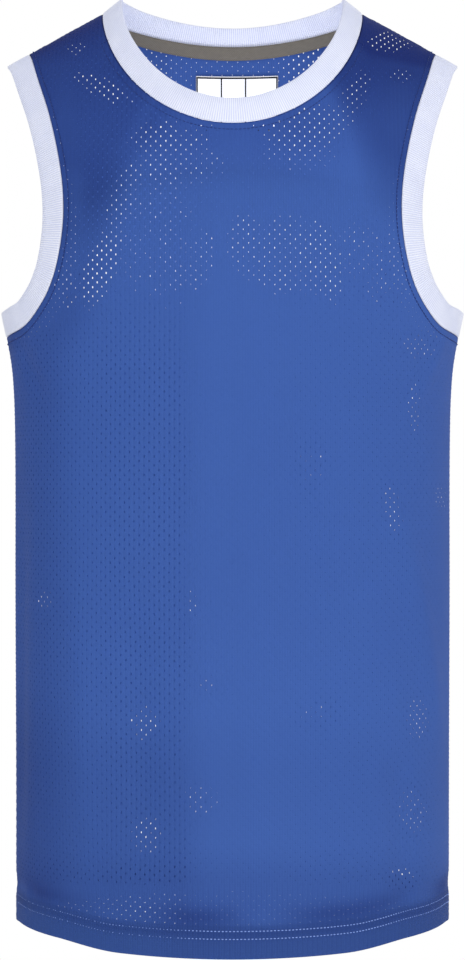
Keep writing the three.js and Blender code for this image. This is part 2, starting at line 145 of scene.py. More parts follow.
@dataclass
class ClothForm:
    """The surface that the two panels lie on, worked out once as a fine grid.

    The body's level sections change from row to row of a table. Above the chest level each
    column of cloth climbs over a rounded quarter to the shoulder ridge.
    """

    chest_level: float = -195.0
    arc_steps: int = 72
    sections: tuple[Section, ...] = (
        Section(-680, 165, 142, 136, 1.88),
        Section(-560, 165, 138, 127, 2.0),
        Section(-430, 165.3, 135, 119, 2.12),
        Section(-310, 165.6, 133, 116, 2.08),
        Section(-262, 167.5, 132, 117, 2.0),
        Section(-232, 172.3, 131, 118, 1.92),
        Section(-213, 177.5, 130, 118, 1.88),
        Section(-195, 181, 129, 117, 1.87),
    )
    ridge_apex: float = 74.1
    ridge_slope: float = 0.56
    ridge_softness: float = 40.0
    flare_height: float = 4.0
    flare_from: float = 100.0
    flare_to: float = 80.0
    upward: float = 1.42
    forward: float = 2.15
    fold_fade: float = 1 / 3
    dent_depth: float = 0.75
    dent_ripple: float = 0.45
    dent_at: tuple[float, float] = (-646, 6.5)
    puff_height: float = 0.3
    puff_at: tuple[float, float] = (-657, 4.5)
    ease_reach: float = 70.0
    ease_rounds: int = 60
    columns: int = 241
    body_rows: int = 250
    rise_rows: int = 140
    lowest: float = -690.0
    folds: tuple[Fold, ...] = (
        Fold(Side.FRONT, -22, -130, -26, -640, 13, 2.6),
        Fold(Side.FRONT, -72, -400, -66, -640, 17, -3.4),
        Fold(Side.FRONT, -118, -390, -112, -670, 14, 2.4),
        Fold(Side.FRONT, -188, -300, -206, -660, 15, -3),
        Fold(Side.FRONT, 54, -300, 92, -480, 15, -2.4),
        Fold(Side.FRONT, 118, -330, 196, -560, 14, 2.8),
        Fold(Side.FRONT, 128, -520, 142, -670, 15, -2.6),
        Fold(Side.FRONT, 196, -225, 132, -300, 9, 2),
        Fold(Side.FRONT, -200, -228, -146, -290, 9, -2),
        Fold(Side.BACK, -16, -150, -8, -650, 16, -3),
        Fold(Side.BACK, 58, -330, 74, -670, 15, 2.8),
        Fold(Side.BACK, -84, -280, -72, -640, 15, 2.6),
        Fold(Side.BACK, 138, -380, 120, -660, 16, -3),
        Fold(Side.BACK, -158, -330, -176, -670, 15, -2.6),
        Fold(Side.BACK, 190, -230, 110, -330, 10, 2),
        Fold(Side.BACK, -192, -232, -120, -320, 10, 2),
    )

    def section_sizes(self, side: Side, level: np.ndarray) -> tuple[np.ndarray, ...]:
        """Half width, stand-off and squareness of the sections at some levels.

        Args:
            side: The panel whose stand-off is wanted.
            level: Heights of the sections.

        Returns:
            The three sizes, each eased between the rows of the table.
        """
        rows = self.sections
        levels = np.array([row.level for row in rows])
        depth = [row.front if side is Side.FRONT else row.back for row in rows]
        columns = [[row.half_width for row in rows], depth, [row.squareness for row in rows]]
        held = np.clip(level, levels[0], levels[-1])
        upper = np.clip(np.searchsorted(levels, held, side="right"), 1, len(rows) - 1)
        height = levels[upper] - levels[upper - 1]
        t = (held - levels[upper - 1]) / height
        lead = t * t * (3 - 2 * t)
        sizes = []
        for column in columns:
            value = np.array(column, float)
            below = np.maximum(np.arange(len(rows)) - 1, 0)
            above = np.minimum(np.arange(len(rows)) + 1, len(rows) - 1)
            slope = (value[above] - value[below]) / (levels[above] - levels[below])
            leave = t * (1 - t) ** 2 * height * slope[upper - 1]
            arrive = t * t * (t - 1) * height * slope[upper]
            sizes.append(value[upper - 1] * (1 - lead) + value[upper] * lead + leave + arrive)
        return tuple(sizes)

    def quarter(self, width, depth, outward, inward) -> tuple[np.ndarray, ...]:
        """Steps along rounded quarters, each from its depth out to its width.

        Args:
            width: How far each quarter reaches out.
            depth: How far each quarter stands off.
            outward: How square each one is on its way out.
            inward: How square each one is on its way in.

        Returns:
            Distance out, distance in and length, with one row for each quarter.
        """
        width, depth = np.atleast_1d(width)[:, None], np.atleast_1d(depth)[:, None]
        outward, inward = np.atleast_1d(outward)[:, None], np.atleast_1d(inward)[:, None]
        turn = np.linspace(0, math.pi / 2, self.arc_steps + 1)[None, :]
        out = width * np.sin(turn) ** (2 / outward)
        back = depth * np.clip(np.cos(turn), 0, 1) ** (2 / inward)
        back[:, -1] = 0
        step = np.hypot(np.diff(out, axis=1), np.diff(back, axis=1))
        length = np.concatenate([np.zeros((len(out), 1)), np.cumsum(step, axis=1)], axis=1)
        return out, back, length

    @staticmethod
    def reach(steps: tuple[np.ndarray, ...], measure: int, value: np.ndarray) -> list[np.ndarray]:
        """The places on quarters where one of their measures reaches a value.

        Args:
            steps: Distance out, distance in and length of each quarter's steps.
            measure: Which of the three is given.
            value: The value that it reaches, one for each quarter.

        Returns:
            The three measures at those places.
        """
        key = steps[measure]
        value = np.minimum(np.broadcast_to(value, len(key)), key[:, -1])
        high = np.clip((key[:, 1:] < value[:, None]).sum(axis=1) + 1, 1, key.shape[1] - 1)
        row = np.arange(len(key))
        low_key, high_key = key[row, high - 1], key[row, high]
        t = np.clip((value - low_key) / np.maximum(high_key - low_key, 1e-12), 0, 1)
        return [one[row, high - 1] * (1 - t) + one[row, high] * t for one in steps]

    def ridge_height(self, across: np.ndarray) -> np.ndarray:
        """Height of the shoulder ridge at a distance from the middle."""
        flare = rise(across, self.flare_from, self.flare_to)
        fall = self.ridge_slope * np.hypot(across, self.ridge_softness)
        return self.ridge_apex - fall + self.flare_height * flare

    def shoulder_steps(self, place: list[np.ndarray]) -> tuple[np.ndarray, ...]:
        """The climb from places at the chest level to the ridge."""
        height = self.ridge_height(place[0]) - self.chest_level
        return self.quarter(height, np.maximum(place[1], 0.3), self.upward, self.forward)

    def girth(self, side: Side, level: np.ndarray) -> np.ndarray:
        """Length along the cloth from the middle of a panel to its side seam."""
        width, depth, square = self.section_sizes(side, np.atleast_1d(level))
        return self.quarter(width, depth, square, square)[2][:, -1]

    def climb_length(self, side: Side, share: np.ndarray) -> np.ndarray:
        """Length of the climb from the chest level to the ridge at some shares of the width."""
        place = self.chest_place(side, np.abs(share))
        return self.shoulder_steps(place)[2][:, -1]

    def chest_place(self, side: Side, share: np.ndarray) -> list[np.ndarray]:
        """Places on the chest section at some shares of its length."""
        share = np.atleast_1d(share)
        levels = np.full(len(share), self.chest_level)
        width, depth, square = self.section_sizes(side, levels)
        steps = self.quarter(width, depth, square, square)
        return self.reach(steps, 2, share * steps[2][:, -1])

    def plain(self, side: Side, share: np.ndarray, row: np.ndarray) -> np.ndarray:
        """Points of the plain cloth.

        Args:
            side: The panel.
            share: Shares of the way from the middle to a side seam, from -1 to 1.
            row: A level under the chest level where it is negative, counted from there, and
                a share of the climb to the ridge where it is positive.

        Returns:
            The points, in millimetres.
        """
        level = self.chest_level + np.minimum(row, 0)
        width, depth, square = self.section_sizes(side, level)
        steps = self.quarter(width, depth, square, square)
        place = self.reach(steps, 2, np.abs(share) * steps[2][:, -1])
        points = np.stack([np.sign(share) * place[0], side.value * place[1], level], axis=1)
        high = row > 0
        if high.any():
            profile = self.shoulder_steps([one[high] for one in place])
            up = self.reach(profile, 2, row[high] * profile[2][:, -1])
            points[high, 1] = side.value * up[1]
            points[high, 2] = self.chest_level + up[0]
        return points

    def fold_height(self, side: Side, across: np.ndarray, level: np.ndarray) -> np.ndarray:
        """How far the folds lift or sink the cloth at some places."""
        total = np.zeros(len(across))
        for fold in self.folds:
            if fold.side is not side:
                continue
            run = np.array([fold.to_across - fold.across, fold.bottom - fold.top])
            from_top = np.stack([across - fold.across, level - fold.top], axis=1)
            along = from_top @ run / (run @ run)
            off = (from_top[:, 0] * run[1] - from_top[:, 1] * run[0]) / np.hypot(*run)
            fade = smooth(along / self.fold_fade) * smooth((1 - along) / self.fold_fade)
            total += fold.height * fade * bell(off, 0, fold.spread)
        return total + self.hem_dent(side, across, level)

    def hem_dent(self, side: Side, across: np.ndarray, level: np.ndarray) -> np.ndarray:
        """How far the cloth draws in just above the hem's stitches, in uneven ripples."""
        turns = across / 17 + 0.8 * np.sin(across / 43 + side.value)
        ripple = 0.6 * np.sin(turns * math.pi) + 0.4 * np.sin(turns * 1.83 * math.pi + 1)
        dent = (self.dent_depth + self.dent_ripple * ripple) * bell(level, *self.dent_at)
        return self.puff_height * ripple * bell(level, *self.puff_at) - dent

    def __post_init__(self) -> None:
        """Works out the grid of both panels."""
        self.shares = np.linspace(-1, 1, self.columns)
        body = np.linspace(self.lowest - self.chest_level, 0, self.body_rows)
        shoulder = np.linspace(0, 1, self.rise_rows)[1:]
        self.rows = np.concatenate([body, shoulder])
        self.row_index = np.arange(len(self.rows), dtype=float)
        self.grids = {side: self.make_grid(side) for side in Side}
        self.girth_levels = np.linspace(self.lowest, self.chest_level, 200)
        self.girths = {side: self.girth(side, self.girth_levels) for side in Side}
        self.climb_shares = np.linspace(0, 1, 200)
        self.climbs = {side: self.climb_length(side, self.climb_shares) for side in Side}

    def make_grid(self, side: Side) -> np.ndarray:
        """Points and facings of a panel over the whole grid, with its folds.

        Args:
            side: The panel.

        Returns:
            An array of rows, columns and six numbers, three for the point and three for the
            direction that it faces.
        """
        share, row = np.meshgrid(self.shares, self.rows)
        flat_share, flat_row = share.ravel(), row.ravel()
        points = self.plain(side, flat_share, flat_row).reshape(*share.shape, 3)
        points = self.ease_chest(points)
        facing = self.facings(side, points)
        steps = self.section_sizes(side, self.chest_level + np.minimum(self.rows, 0))
        length = self.quarter(*steps, steps[2])[2][:, -1]
        level = points[..., 2]
        lift = self.fold_height(side, (share * length[:, None]).ravel(), level.ravel())
        points = points + facing * lift.reshape(share.shape)[..., None]
        return np.concatenate([points, self.facings(side, points)], axis=2)

    @staticmethod
    def facings(side: Side, points: np.ndarray) -> np.ndarray:
        """The way that a grid of points faces, out of the body."""
        across, up = np.gradient(points, axis=1), np.gradient(points, axis=0)
        return unit(np.cross(across, up)) * -side.value

    def ease_chest(self, points: np.ndarray) -> np.ndarray:
        """Rounds the bend at the chest level, where the body turns into the shoulders."""
        level = points[:, self.columns // 2, 2]
        weight = smooth(1 - np.abs(level - self.chest_level) / self.ease_reach)
        eased = points.copy()
        for _ in range(self.ease_rounds):
            middle = (eased[:-2] + 2 * eased[1:-1] + eased[2:]) / 4
            eased[1:-1, :, 1] += weight[1:-1, None] * (middle[..., 1] - eased[1:-1, :, 1])
        return eased

    def share_of(self, side: Side, across: np.ndarray, climb: np.ndarray) -> np.ndarray:
        """Share of the way to the side seam at some places on the cloth."""
        level = self.chest_level + np.minimum(climb, 0)
        return across / np.interp(level, self.girth_levels, self.girths[side])

    def place(self, side: Side, across: np.ndarray, climb: np.ndarray) -> tuple:
        """Points of the folded cloth and the way that they face.

        Args:
            side: The panel.
            across: Distances along the cloth from the middle of the panel.
            climb: Distances along the cloth up from the chest level.

        Returns:
            The points and the facings, two lists of rows.
        """
        across, climb = np.asarray(across, float), np.asarray(climb, float)
        share = self.share_of(side, across, climb)
        whole = np.interp(np.abs(share), self.climb_shares, self.climbs[side])
        row = np.where(climb > 0, climb / whole, climb)
        at = np.interp(row, self.rows, self.row_index)
        column = (np.clip(share, -1, 1) + 1) / 2 * (self.columns - 1)
        i = np.clip(np.floor(at).astype(int), 0, len(self.rows) - 2)
        j = np.clip(np.floor(column).astype(int), 0, self.columns - 2)
        s, t = (at - i)[:, None], (column - j)[:, None]
        grid = self.grids[side]
        low = grid[i, j] * (1 - t) + grid[i, j + 1] * t
        high = grid[i + 1, j] * (1 - t) + grid[i + 1, j + 1] * t
        found = low * (1 - s) + high * s
        return found[:, :3], unit(found[:, 3:])

    def seen(self, side: Side, x: np.ndarray, z: np.ndarray) -> np.ndarray:
        """Places on the cloth that are seen from the front at a distance and a height.

        Args:
            side: The panel.
            x: Distances from the middle, none of them negative.
            z: Heights.

        Returns:
            Rows of the distance across and the climb.
        """
        x, z = np.atleast_1d(x).astype(float), np.atleast_1d(z).astype(float)
        x, z = np.broadcast_arrays(x, z)
        width, depth, square = self.section_sizes(side, np.minimum(z, self.chest_level))
        place = self.reach(self.quarter(width, depth, square, square), 0, x)
        profile = self.shoulder_steps(place)
        above = np.maximum(z - self.chest_level, 0)
        climb = self.reach(profile, 0, above)[2]
        climb = np.where(z <= self.chest_level, z - self.chest_level, climb)
        return np.stack([place[2], climb], axis=1)


@dataclass
class Pattern:
    """The cut of the panels, as seam lines on the cloth."""

    form: ClothForm
    neck_half_width: float = 98.5
    neck_top: float = 14.6
    neck_drop: dict = field(default_factory=lambda: {Side.FRONT: 98.0, Side.BACK: 15.5})
    neck_curve: dict = field(default_factory=lambda: {Side.FRONT: 1.1, Side.BACK: 2.0})
    armhole_seam: tuple[tuple[float, float], ...] = (
        (169, -231.5),
        (154, -226),
        (142, -213),
        (133, -197),
        (127.5, -178),
        (124, -152),
        (124.6, -127),
        (129, -99),
        (137, -67),
        (147.5, -36),
    )
    underarm_level: float = -232.0
    shoulder_tip: float = 156.0
    hem_level: float = -674.5
    hem_drop: float = 3.0
    hem_depth: float = 22.0
    hem_roll: float = 0.95
    flank_lift: float = 3.4
    flank_from: tuple[float, float] = (85, 145)
    flank_to: tuple[float, float] = (239, 205)
    route_steps: int = 240
    line_steps: int = 16

    def neck_seam(self, side: Side) -> np.ndarray:
        """The neck seam of one side, from the middle to the shoulder seam."""
        turn = np.linspace(0, math.pi / 2, self.route_steps)
        x = self.neck_half_width * np.sin(turn)
        drop = self.neck_drop[side] * np.clip(np.cos(turn), 0, 1) ** self.neck_curve[side]
        route = self.form.seen(side, x, self.neck_top - drop)
        route[-1, 1] = self.ridge_climb(side, route[-1, 0])
        return route

    def ridge_climb(self, side: Side, across: float) -> float:
        """The climb at which the shoulder seam lies, at a distance across."""
        share = abs(across) / self.form.girths[side][-1]
        return float(np.interp(share, self.form.climb_shares, self.form.climbs[side]))

    def armhole_line(self, side: Side) -> np.ndarray:
        """The armhole seam of one side, from the side seam to the shoulder seam."""
        form = self.form
        start = [form.girth(side, self.underarm_level)[0], self.underarm_level - form.chest_level]
        middle = [form.seen(side, x, z)[0] for x, z in self.armhole_seam]
        tip_across = form.seen(side, self.shoulder_tip, form.ridge_height(self.shoulder_tip))[0][0]
        tip = [tip_across, self.ridge_climb(side, tip_across)]
        return self.rounded_line(np.array([start, *middle, tip]))

    def rounded_line(self, corners: np.ndarray) -> np.ndarray:
        """A smooth line through some places, with more of them between.

        Args:
            corners: The places that the line runs through.

        Returns:
            Places at close steps along the line.
        """
        ends = [2 * corners[0] - corners[1], *corners, 2 * corners[-1] - corners[-2]]
        line = []
        for a, b, c, d in zip(ends, ends[1:], ends[2:], ends[3:]):
            gaps = [np.linalg.norm(q - p) ** 0.5 for p, q in ((a, b), (b, c), (c, d))]
            knots = np.cumsum([0, *gaps])
            t = np.linspace(knots[1], knots[2], self.line_steps, endpoint=False)[:, None]
            k0, k1, k2, k3 = knots
            ab = (k1 - t) / (k1 - k0) * a + (t - k0) / (k1 - k0) * b
            bc = (k2 - t) / (k2 - k1) * b + (t - k1) / (k2 - k1) * c
            cd = (k3 - t) / (k3 - k2) * c + (t - k2) / (k3 - k2) * d
            abc = (k2 - t) / (k2 - k0) * ab + (t - k0) / (k2 - k0) * bc
            bcd = (k3 - t) / (k3 - k1) * bc + (t - k1) / (k3 - k1) * cd
            line.extend((k2 - t) / (k2 - k1) * abc + (t - k1) / (k2 - k1) * bcd)
        return np.array([*line, corners[-1]])

    def side_seam(self, side: Side) -> np.ndarray:
        """The side seam of one side, from the hem up to the underarm."""
        levels = np.linspace(self.hem_level, self.underarm_level, self.route_steps)
        return np.stack([self.form.girth(side, levels), levels - self.form.chest_level], axis=1)

    def shoulder_seam(self, side: Side) -> np.ndarray:
        """The shoulder seam of one side, from the armhole to the neck."""
        tip, neck = self.armhole_line(side)[-1, 0], self.neck_seam(side)[-1, 0]
        across = np.linspace(tip, neck, 60)
        return np.stack([across, [self.ridge_climb(side, one) for one in across]], axis=1)

    def hem_climb(self, side: Side, across: np.ndarray) -> np.ndarray:
        """The climb of the hem's lower edge: lowest at the centre, lifted on the front's flanks."""
        share = across / self.form.girth(side, self.hem_level)[0]
        drop = self.hem_drop * (1 - share**2)
        lift = self.flank_lift if side is Side.FRONT else 0
        flank = lift * rise(np.abs(across), *self.flank_from)
        flank = flank * rise(np.abs(across), *self.flank_to)
        return self.hem_level - self.form.chest_level - drop + flank

    def cloth(self, side: Side, across: np.ndarray, climb: np.ndarray, sink=0.0) -> np.ndarray:
        """Points of a panel, which turns up inside below the hem's lower edge.

        Args:
            side: The panel.
            across: Distances along the cloth from the middle.
            climb: Climbs along the cloth, which run on below the hem into the turn-up.
            sink: How far the points lie in from the cloth's outer face.

        Returns:
            The points, in millimetres.
        """
        across, climb = np.asarray(across, float), np.asarray(climb, float)
        edge = self.hem_climb(side, across)
        past = np.maximum(edge - climb, 0)
        roll = self.hem_roll
        bend = math.pi * roll
        back_up = np.maximum(past - bend, 0)
        point, facing = self.form.place(side, across, np.maximum(climb, edge) + back_up)
        turn = np.clip(past / roll, 0, math.pi)
        inward = roll * (1 - np.cos(turn)) + np.asarray(sink) * np.cos(turn)
        down = roll * np.sin(turn)
        return point - facing * inward[:, None] + np.array([0, 0, -1.0]) * down[:, None]


def linear(code: str) -> tuple[float, float, float, float]:
    """Turns an sRGB hex colour to the linear values that a shader takes."""
    values = [int(code[i : i + 2], 16) / 255 for i in (1, 3, 5)]
    bent = [v / 12.92 if v <= 0.04045 else ((v + 0.055) / 1.055) ** 2.4 for v in values]
    return (*bent, 1.0)


def add_node(tree: bpy.types.NodeTree, kind: str, settings: Optional[dict] = None, **links):
    """Adds a node with its settings and links.

    Args:
        tree: The node tree.
        kind: The node's type name.
        settings: Attributes, and socket values under their socket's name or number.
        **links: Output sockets to link, under the input's name with _ for a space, or under
            i0, i1 and so on for its number.

    Returns:
        The node.
    """
    node = tree.nodes.new(kind)
    for name, value in (settings or {}).items():
        if isinstance(name, int) or name in node.inputs:
            node.inputs[name].default_value = value
        else:
            setattr(node, name, value)
    for name, socket in links.items():
        numbered = name[0] == "i" and name[1:].isdigit()
        target = node.inputs[int(name[1:]) if numbered else name.replace("_", " ")]
        tree.links.new(socket, target)
    return node


def maths(tree: bpy.types.NodeTree, operation: str, a, b=0.0, c=0.0):
    """Adds a sum of numbers or sockets and returns its output socket."""
    node = tree.nodes.new("ShaderNodeMath")
    node.operation = operation
    for socket, value in zip(node.inputs, (a, b, c)):
        if isinstance(value, (int, float)):
            socket.default_value = value
        else:
            tree.links.new(value, socket)
    return node.outputs[0]


@dataclass(frozen=True)
class Finish:
    """What every cloth finish has, and how its material is started."""

    name: str
    colour: str
    shade: str
    roughness: float = 0.8
    sheen: float = 0.2
    sheen_roughness: float = 0.5
    ior: float = 1.22

    def start(self) -> tuple:
        """Makes an empty material with its main shader.

        Returns:
            The material, its node tree and the shader.
        """
        material = bpy.data.materials.new(self.name)
        material.use_nodes = True
        tree = material.node_tree
        tree.nodes.clear()
        shader = add_node(
            tree,
            "ShaderNodeBsdfPrincipled",
            {
                "Roughness": self.roughness,
                "Sheen Weight": self.sheen,
                "Sheen Roughness": self.sheen_roughness,
                "IOR": self.ior,
            },
        )
        add_node(tree, "ShaderNodeOutputMaterial", Surface=shader.outputs[0])
        return material, tree, shader

    def mix(self, tree, share, first, second):
        """Mixes two colours, given as hex codes or sockets, by a share."""
        node = add_node(tree, "ShaderNodeMix", {"data_type": "RGBA"})
        tree.links.new(share, node.inputs["Factor"])
        for place, colour in (("A", first), ("B", second)):
            socket = [i for i in node.inputs if i.name == place and i.type == "RGBA"][0]
            if isinstance(colour, str):
                socket.default_value = linear(colour)
            else:
                tree.links.new(colour, socket)
        return [o for o in node.outputs if o.type == "RGBA"][0]

    def pattern_axes(self, tree) -> tuple:
        """Distances along and up the cloth, in millimetres, from the piece's own pattern map."""
        place = add_node(tree, "ShaderNodeUVMap", {"uv_map": "pattern"})
        split = add_node(tree, "ShaderNodeSeparateXYZ", i0=place.outputs[0])
        scaled = [maths(tree, "MULTIPLY", split.outputs[i], 1000.0) for i in (0, 1)]
        return tuple(scaled)

    def wave(self, tree, along, pitch: float, phase=0.0):
        """A wave of a pitch in millimetres, from 0 to 1."""
        turn = maths(tree, "MULTIPLY", along, 2 * math.pi / pitch)
        bend = maths(tree, "SINE", maths(tree, "ADD", turn, phase))
        return maths(tree, "MULTIPLY_ADD", bend, 0.5, 0.5)

    def noise(self, tree, scale: float, detail: float = 2.0):
        """Soft cloudiness on the piece, with a scale counted to the metre."""
        where = add_node(tree, "ShaderNodeTexCoord").outputs["Object"]
        settings = {"Scale": scale, "Detail": detail}
        return add_node(tree, "ShaderNodeTexNoise", settings, Vector=where).outputs[0]

    def mark(self, tree, name: str):
        """The share that a piece's mesh holds at each point under a name."""
        return add_node(tree, "ShaderNodeAttribute", {"attribute_name": name}).outputs["Fac"]

    def let_through(self, tree, shader, colour, share: float) -> None:
        """Lets a share of the light through the cloth, in a colour given by a socket."""
        through = add_node(tree, "ShaderNodeBsdfTranslucent", Color=colour)
        both = add_node(tree, "ShaderNodeMixShader", {0: share})
        tree.links.new(shader.outputs[0], both.inputs[1])
        tree.links.new(through.outputs[0], both.inputs[2])
        end = [node for node in tree.nodes if node.type == "OUTPUT_MATERIAL"][0]
        tree.links.new(both.outputs[0], end.inputs["Surface"])

    def relief(self, tree, shader, height, depth: float) -> None:
        """Gives the shader a bump of a depth in millimetres."""
        bump = add_node(tree, "ShaderNodeBump", {"Strength": 1.0, "Distance": depth * MM})
        tree.links.new(height, bump.inputs["Height"])
        tree.links.new(bump.outputs[0], shader.inputs["Normal"])


@dataclass(frozen=True)
class PolyesterMesh(Finish):
    """Knitted polyester mesh, dyed royal blue.

    Filament yarn gives it a low silky glow at grazing angles, and the knit shows as fine
    upright lines of loops between the holes.
    """

    wale: float = 1.875
    course: float = 1.65
    glow: str = "#4d73c8"
    glow_share: float = 0.34
    # Deep blue that the painted shade mixes into the colour.
    deep: str = "#172a6a"
    # Navy of the painted shade at the seam edges.
    seam: str = "#111b45"
    groove_share: float = 0.16
    loop_height: float = 0.14

    def build(self) -> bpy.types.Material:
        """Makes the material: upright loop lines, slight changes of tone, painted shade, and
        painted shade at the seam edges.

        The colour takes the deep blue where the mesh's painted shade says so, and in darker upright
        lines between the loops where its holes are pulled open. Light that passes through the thin
        knit lets each panel glow from behind.
        """
        material, tree, shader = self.start()
        along, up = self.pattern_axes(tree)
        wales = self.wave(tree, along, self.wale)
        courses = self.wave(tree, up, self.course)
        knit = maths(tree, "MULTIPLY_ADD", maths(tree, "MULTIPLY", wales, courses), 0.5, 0.0)
        knit = maths(tree, "MULTIPLY_ADD", wales, 0.5, knit)
        cloud = self.noise(tree, 9.0, 2.0)
        grain = self.noise(tree, 420.0, 1.0)
        dye_and_painted_shade = maths(tree, "MULTIPLY_ADD", cloud, 0.35, 0.0)
        dye_and_painted_shade = maths(tree, "MULTIPLY_ADD", grain, 0.35, dye_and_painted_shade)
        dye_and_painted_shade = maths(tree, "MULTIPLY_ADD", knit, 0.3, dye_and_painted_shade)
        base = self.mix(tree, dye_and_painted_shade, self.shade, self.colour)
        rows = self.wave(tree, along, self.wale * 2, math.pi / 2)
        pulled = maths(tree, "SUBTRACT", self.mark(tree, "open"), 0.5)
        rows = maths(tree, "MULTIPLY", rows, pulled)
        # Painted shade held by the mesh, with darker upright lines where the holes are pulled open.
        deep = maths(tree, "MULTIPLY_ADD", rows, self.groove_share, self.mark(tree, "shade"))
        base = self.mix(tree, deep, base, self.deep)
        # Painted seam shade, towards navy at the rolled seam edges.
        base = self.mix(tree, self.mark(tree, "seam"), base, self.seam)
        tree.links.new(base, shader.inputs["Base Color"])
        self.relief(tree, shader, knit, self.loop_height)
        # The light let through takes the same painted shade.
        dim = self.mix(tree, deep, self.glow, self.deep)
        self.let_through(tree, shader, dim, self.glow_share)
        return material


@dataclass(frozen=True)
class RibKnit(Finish):
    """One-by-one rib knit in white polyester: matt and soft, with painted shade, faintly blue, in
    its valleys.
    """

    course: float = 1.1
    glow_share: float = 0.26

    def build(self) -> bpy.types.Material:
        """Makes the material: painted shade in the rib valleys, and small loops along each rib."""
        material, tree, shader = self.start()
        along, up = self.pattern_axes(tree)
        loops = self.wave(tree, up, self.course)
        cloud = self.noise(tree, 60.0, 2.0)
        # Painted shade in the rib valleys, with a random cloudiness.
        soft = maths(tree, "MULTIPLY", self.mark(tree, "painted_valley_shade"), 0.7)
        soft = maths(tree, "MULTIPLY_ADD", cloud, 0.3, soft)
        base = self.mix(tree, soft, self.colour, self.shade)
        tree.links.new(base, shader.inputs["Base Color"])
        self.relief(tree, shader, loops, 0.05)
        self.let_through(tree, shader, base, self.glow_share)
        return material


@dataclass(frozen=True)
class TwillTape(Finish):
    """Woven grey-brown twill tape: slanting ribs, with a painted highlight along one flank as well
    as their bump.
    """

    twill: float = 1.5

    def build(self) -> bpy.types.Material:
        """Makes the material: slanting ribs across the tape, with painted highlight and shade on
        their flanks.
        """
        material, tree, shader = self.start()
        along, up = self.pattern_axes(tree)
        ribs = self.wave(tree, maths(tree, "ADD", along, up), self.twill)
        grain = self.noise(tree, 300.0, 2.0)
        share = maths(tree, "MULTIPLY_ADD", grain, 0.4, 0.0)
        # Painted highlight and shade along the twill ribs.
        share = maths(tree, "MULTIPLY_ADD", ribs, 0.6, share)
        tree.links.new(self.mix(tree, share, self.shade, self.colour), shader.inputs["Base Color"])
        self.relief(tree, shader, ribs, 0.12)
        return material


@dataclass(frozen=True)
class WovenLabel(Finish):
    """White satin-woven label: smooth and slightly shiny along its threads."""

    thread: float = 0.8
    ink: str = "#1d1d22"
    line: float = 0.62
    uprights: tuple[float, ...] = (-32.2, -12.6, 7.0, 32.2)
    levels: tuple[float, ...] = (1.2, 40.8)

    def inside(self, tree, value, ends: tuple[float, ...]):
        """One between the outermost of some places, and zero beyond them."""
        centre, reach = (ends[0] + ends[-1]) / 2, (ends[-1] - ends[0]) / 2 + self.line
        return maths(tree, "COMPARE", value, centre, reach)

    def lines(self, tree, value, places: tuple[float, ...]):
        """One on narrow lines at some places, and zero between them."""
        total = maths(tree, "COMPARE", value, places[0], self.line)
        for place in places[1:]:
            total = maths(tree, "MAXIMUM", total, maths(tree, "COMPARE", value, place, self.line))
        return total

    def build(self) -> bpy.types.Material:
        """Makes the material: fine level threads, and a black woven border with two dividers."""
        material, tree, shader = self.start()
        along, up = self.pattern_axes(tree)
        threads = self.wave(tree, up, self.thread)
        grain = self.wave(tree, along, self.thread * 2.3)
        share = maths(tree, "MULTIPLY", threads, grain)
        ground = self.mix(tree, share, self.colour, self.shade)
        upright = self.lines(tree, along, self.uprights)
        upright = maths(tree, "MULTIPLY", upright, self.inside(tree, up, self.levels))
        level = self.lines(tree, up, self.levels)
        level = maths(tree, "MULTIPLY", level, self.inside(tree, along, self.uprights))
        border = maths(tree, "MAXIMUM", upright, level)
        base = self.mix(tree, border, ground, self.ink)
        tree.links.new(base, shader.inputs["Base Color"])
        self.relief(tree, shader, threads, 0.04)
        return material


@dataclass(frozen=True)
class SewingThread(Finish):
    """Twisted polyester sewing thread: a little glossier than the cloth, and fuzzy close by."""

    def build(self) -> bpy.types.Material:
        """Makes the material: a fine grain of light and dark fibres."""
        material, tree, shader = self.start()
        grain = self.noise(tree, 900.0, 1.0)
        base = self.mix(tree, grain, self.shade, self.colour)
        tree.links.new(base, shader.inputs["Base Color"])
        self.relief(tree, shader, grain, 0.05)
        return material


@dataclass(frozen=True)
class StudioFloor(Finish):
    """Matt white studio floor."""

    def build(self) -> bpy.types.Material:
        """Makes the material: a nearly even white with a faint cloudiness."""
        material, tree, shader = self.start()
        cloud = self.noise(tree, 0.6)
        base = self.mix(tree, cloud, self.shade, self.colour)
        tree.links.new(base, shader.inputs["Base Color"])
        return material


@dataclass
class Finishes:
    """All the finishes, made once and shared by the pieces."""

    mesh: PolyesterMesh = PolyesterMesh(
        "royal_blue_polyester_mesh", "#4366ab", "#39589b", 0.7, 0.02, 0.4
    )
    # The rib knit's second colour is the painted shade of its valleys.
    rib: RibKnit = RibKnit("white_rib_knit", "#f7f9ff", "#c6cce6", 0.85, 0.02)
    tape: TwillTape = TwillTape("grey_twill_tape", "#767169", "#5a564f", 0.85, 0.05)
    label: WovenLabel = WovenLabel("white_woven_label", "#fcfcfe", "#eff0f5", 0.6, 0.05)
    hem_thread: SewingThread = SewingThread("blue_sewing_thread", "#8099d5", "#6e88cd", 0.5, 0.05)
    seam_thread: SewingThread = SewingThread(
        "deep_blue_sewing_thread", "#22377a", "#1a2a60", 0.6, 0.05
    )
    floor: StudioFloor = StudioFloor("matt_white_floor", "#f7f7f7", "#f1f1f1", 0.9, 0.0)

    def __post_init__(self) -> None:
        """Builds each material."""
        self.made = {one.name: getattr(self, one.name).build() for one in fields(self)}


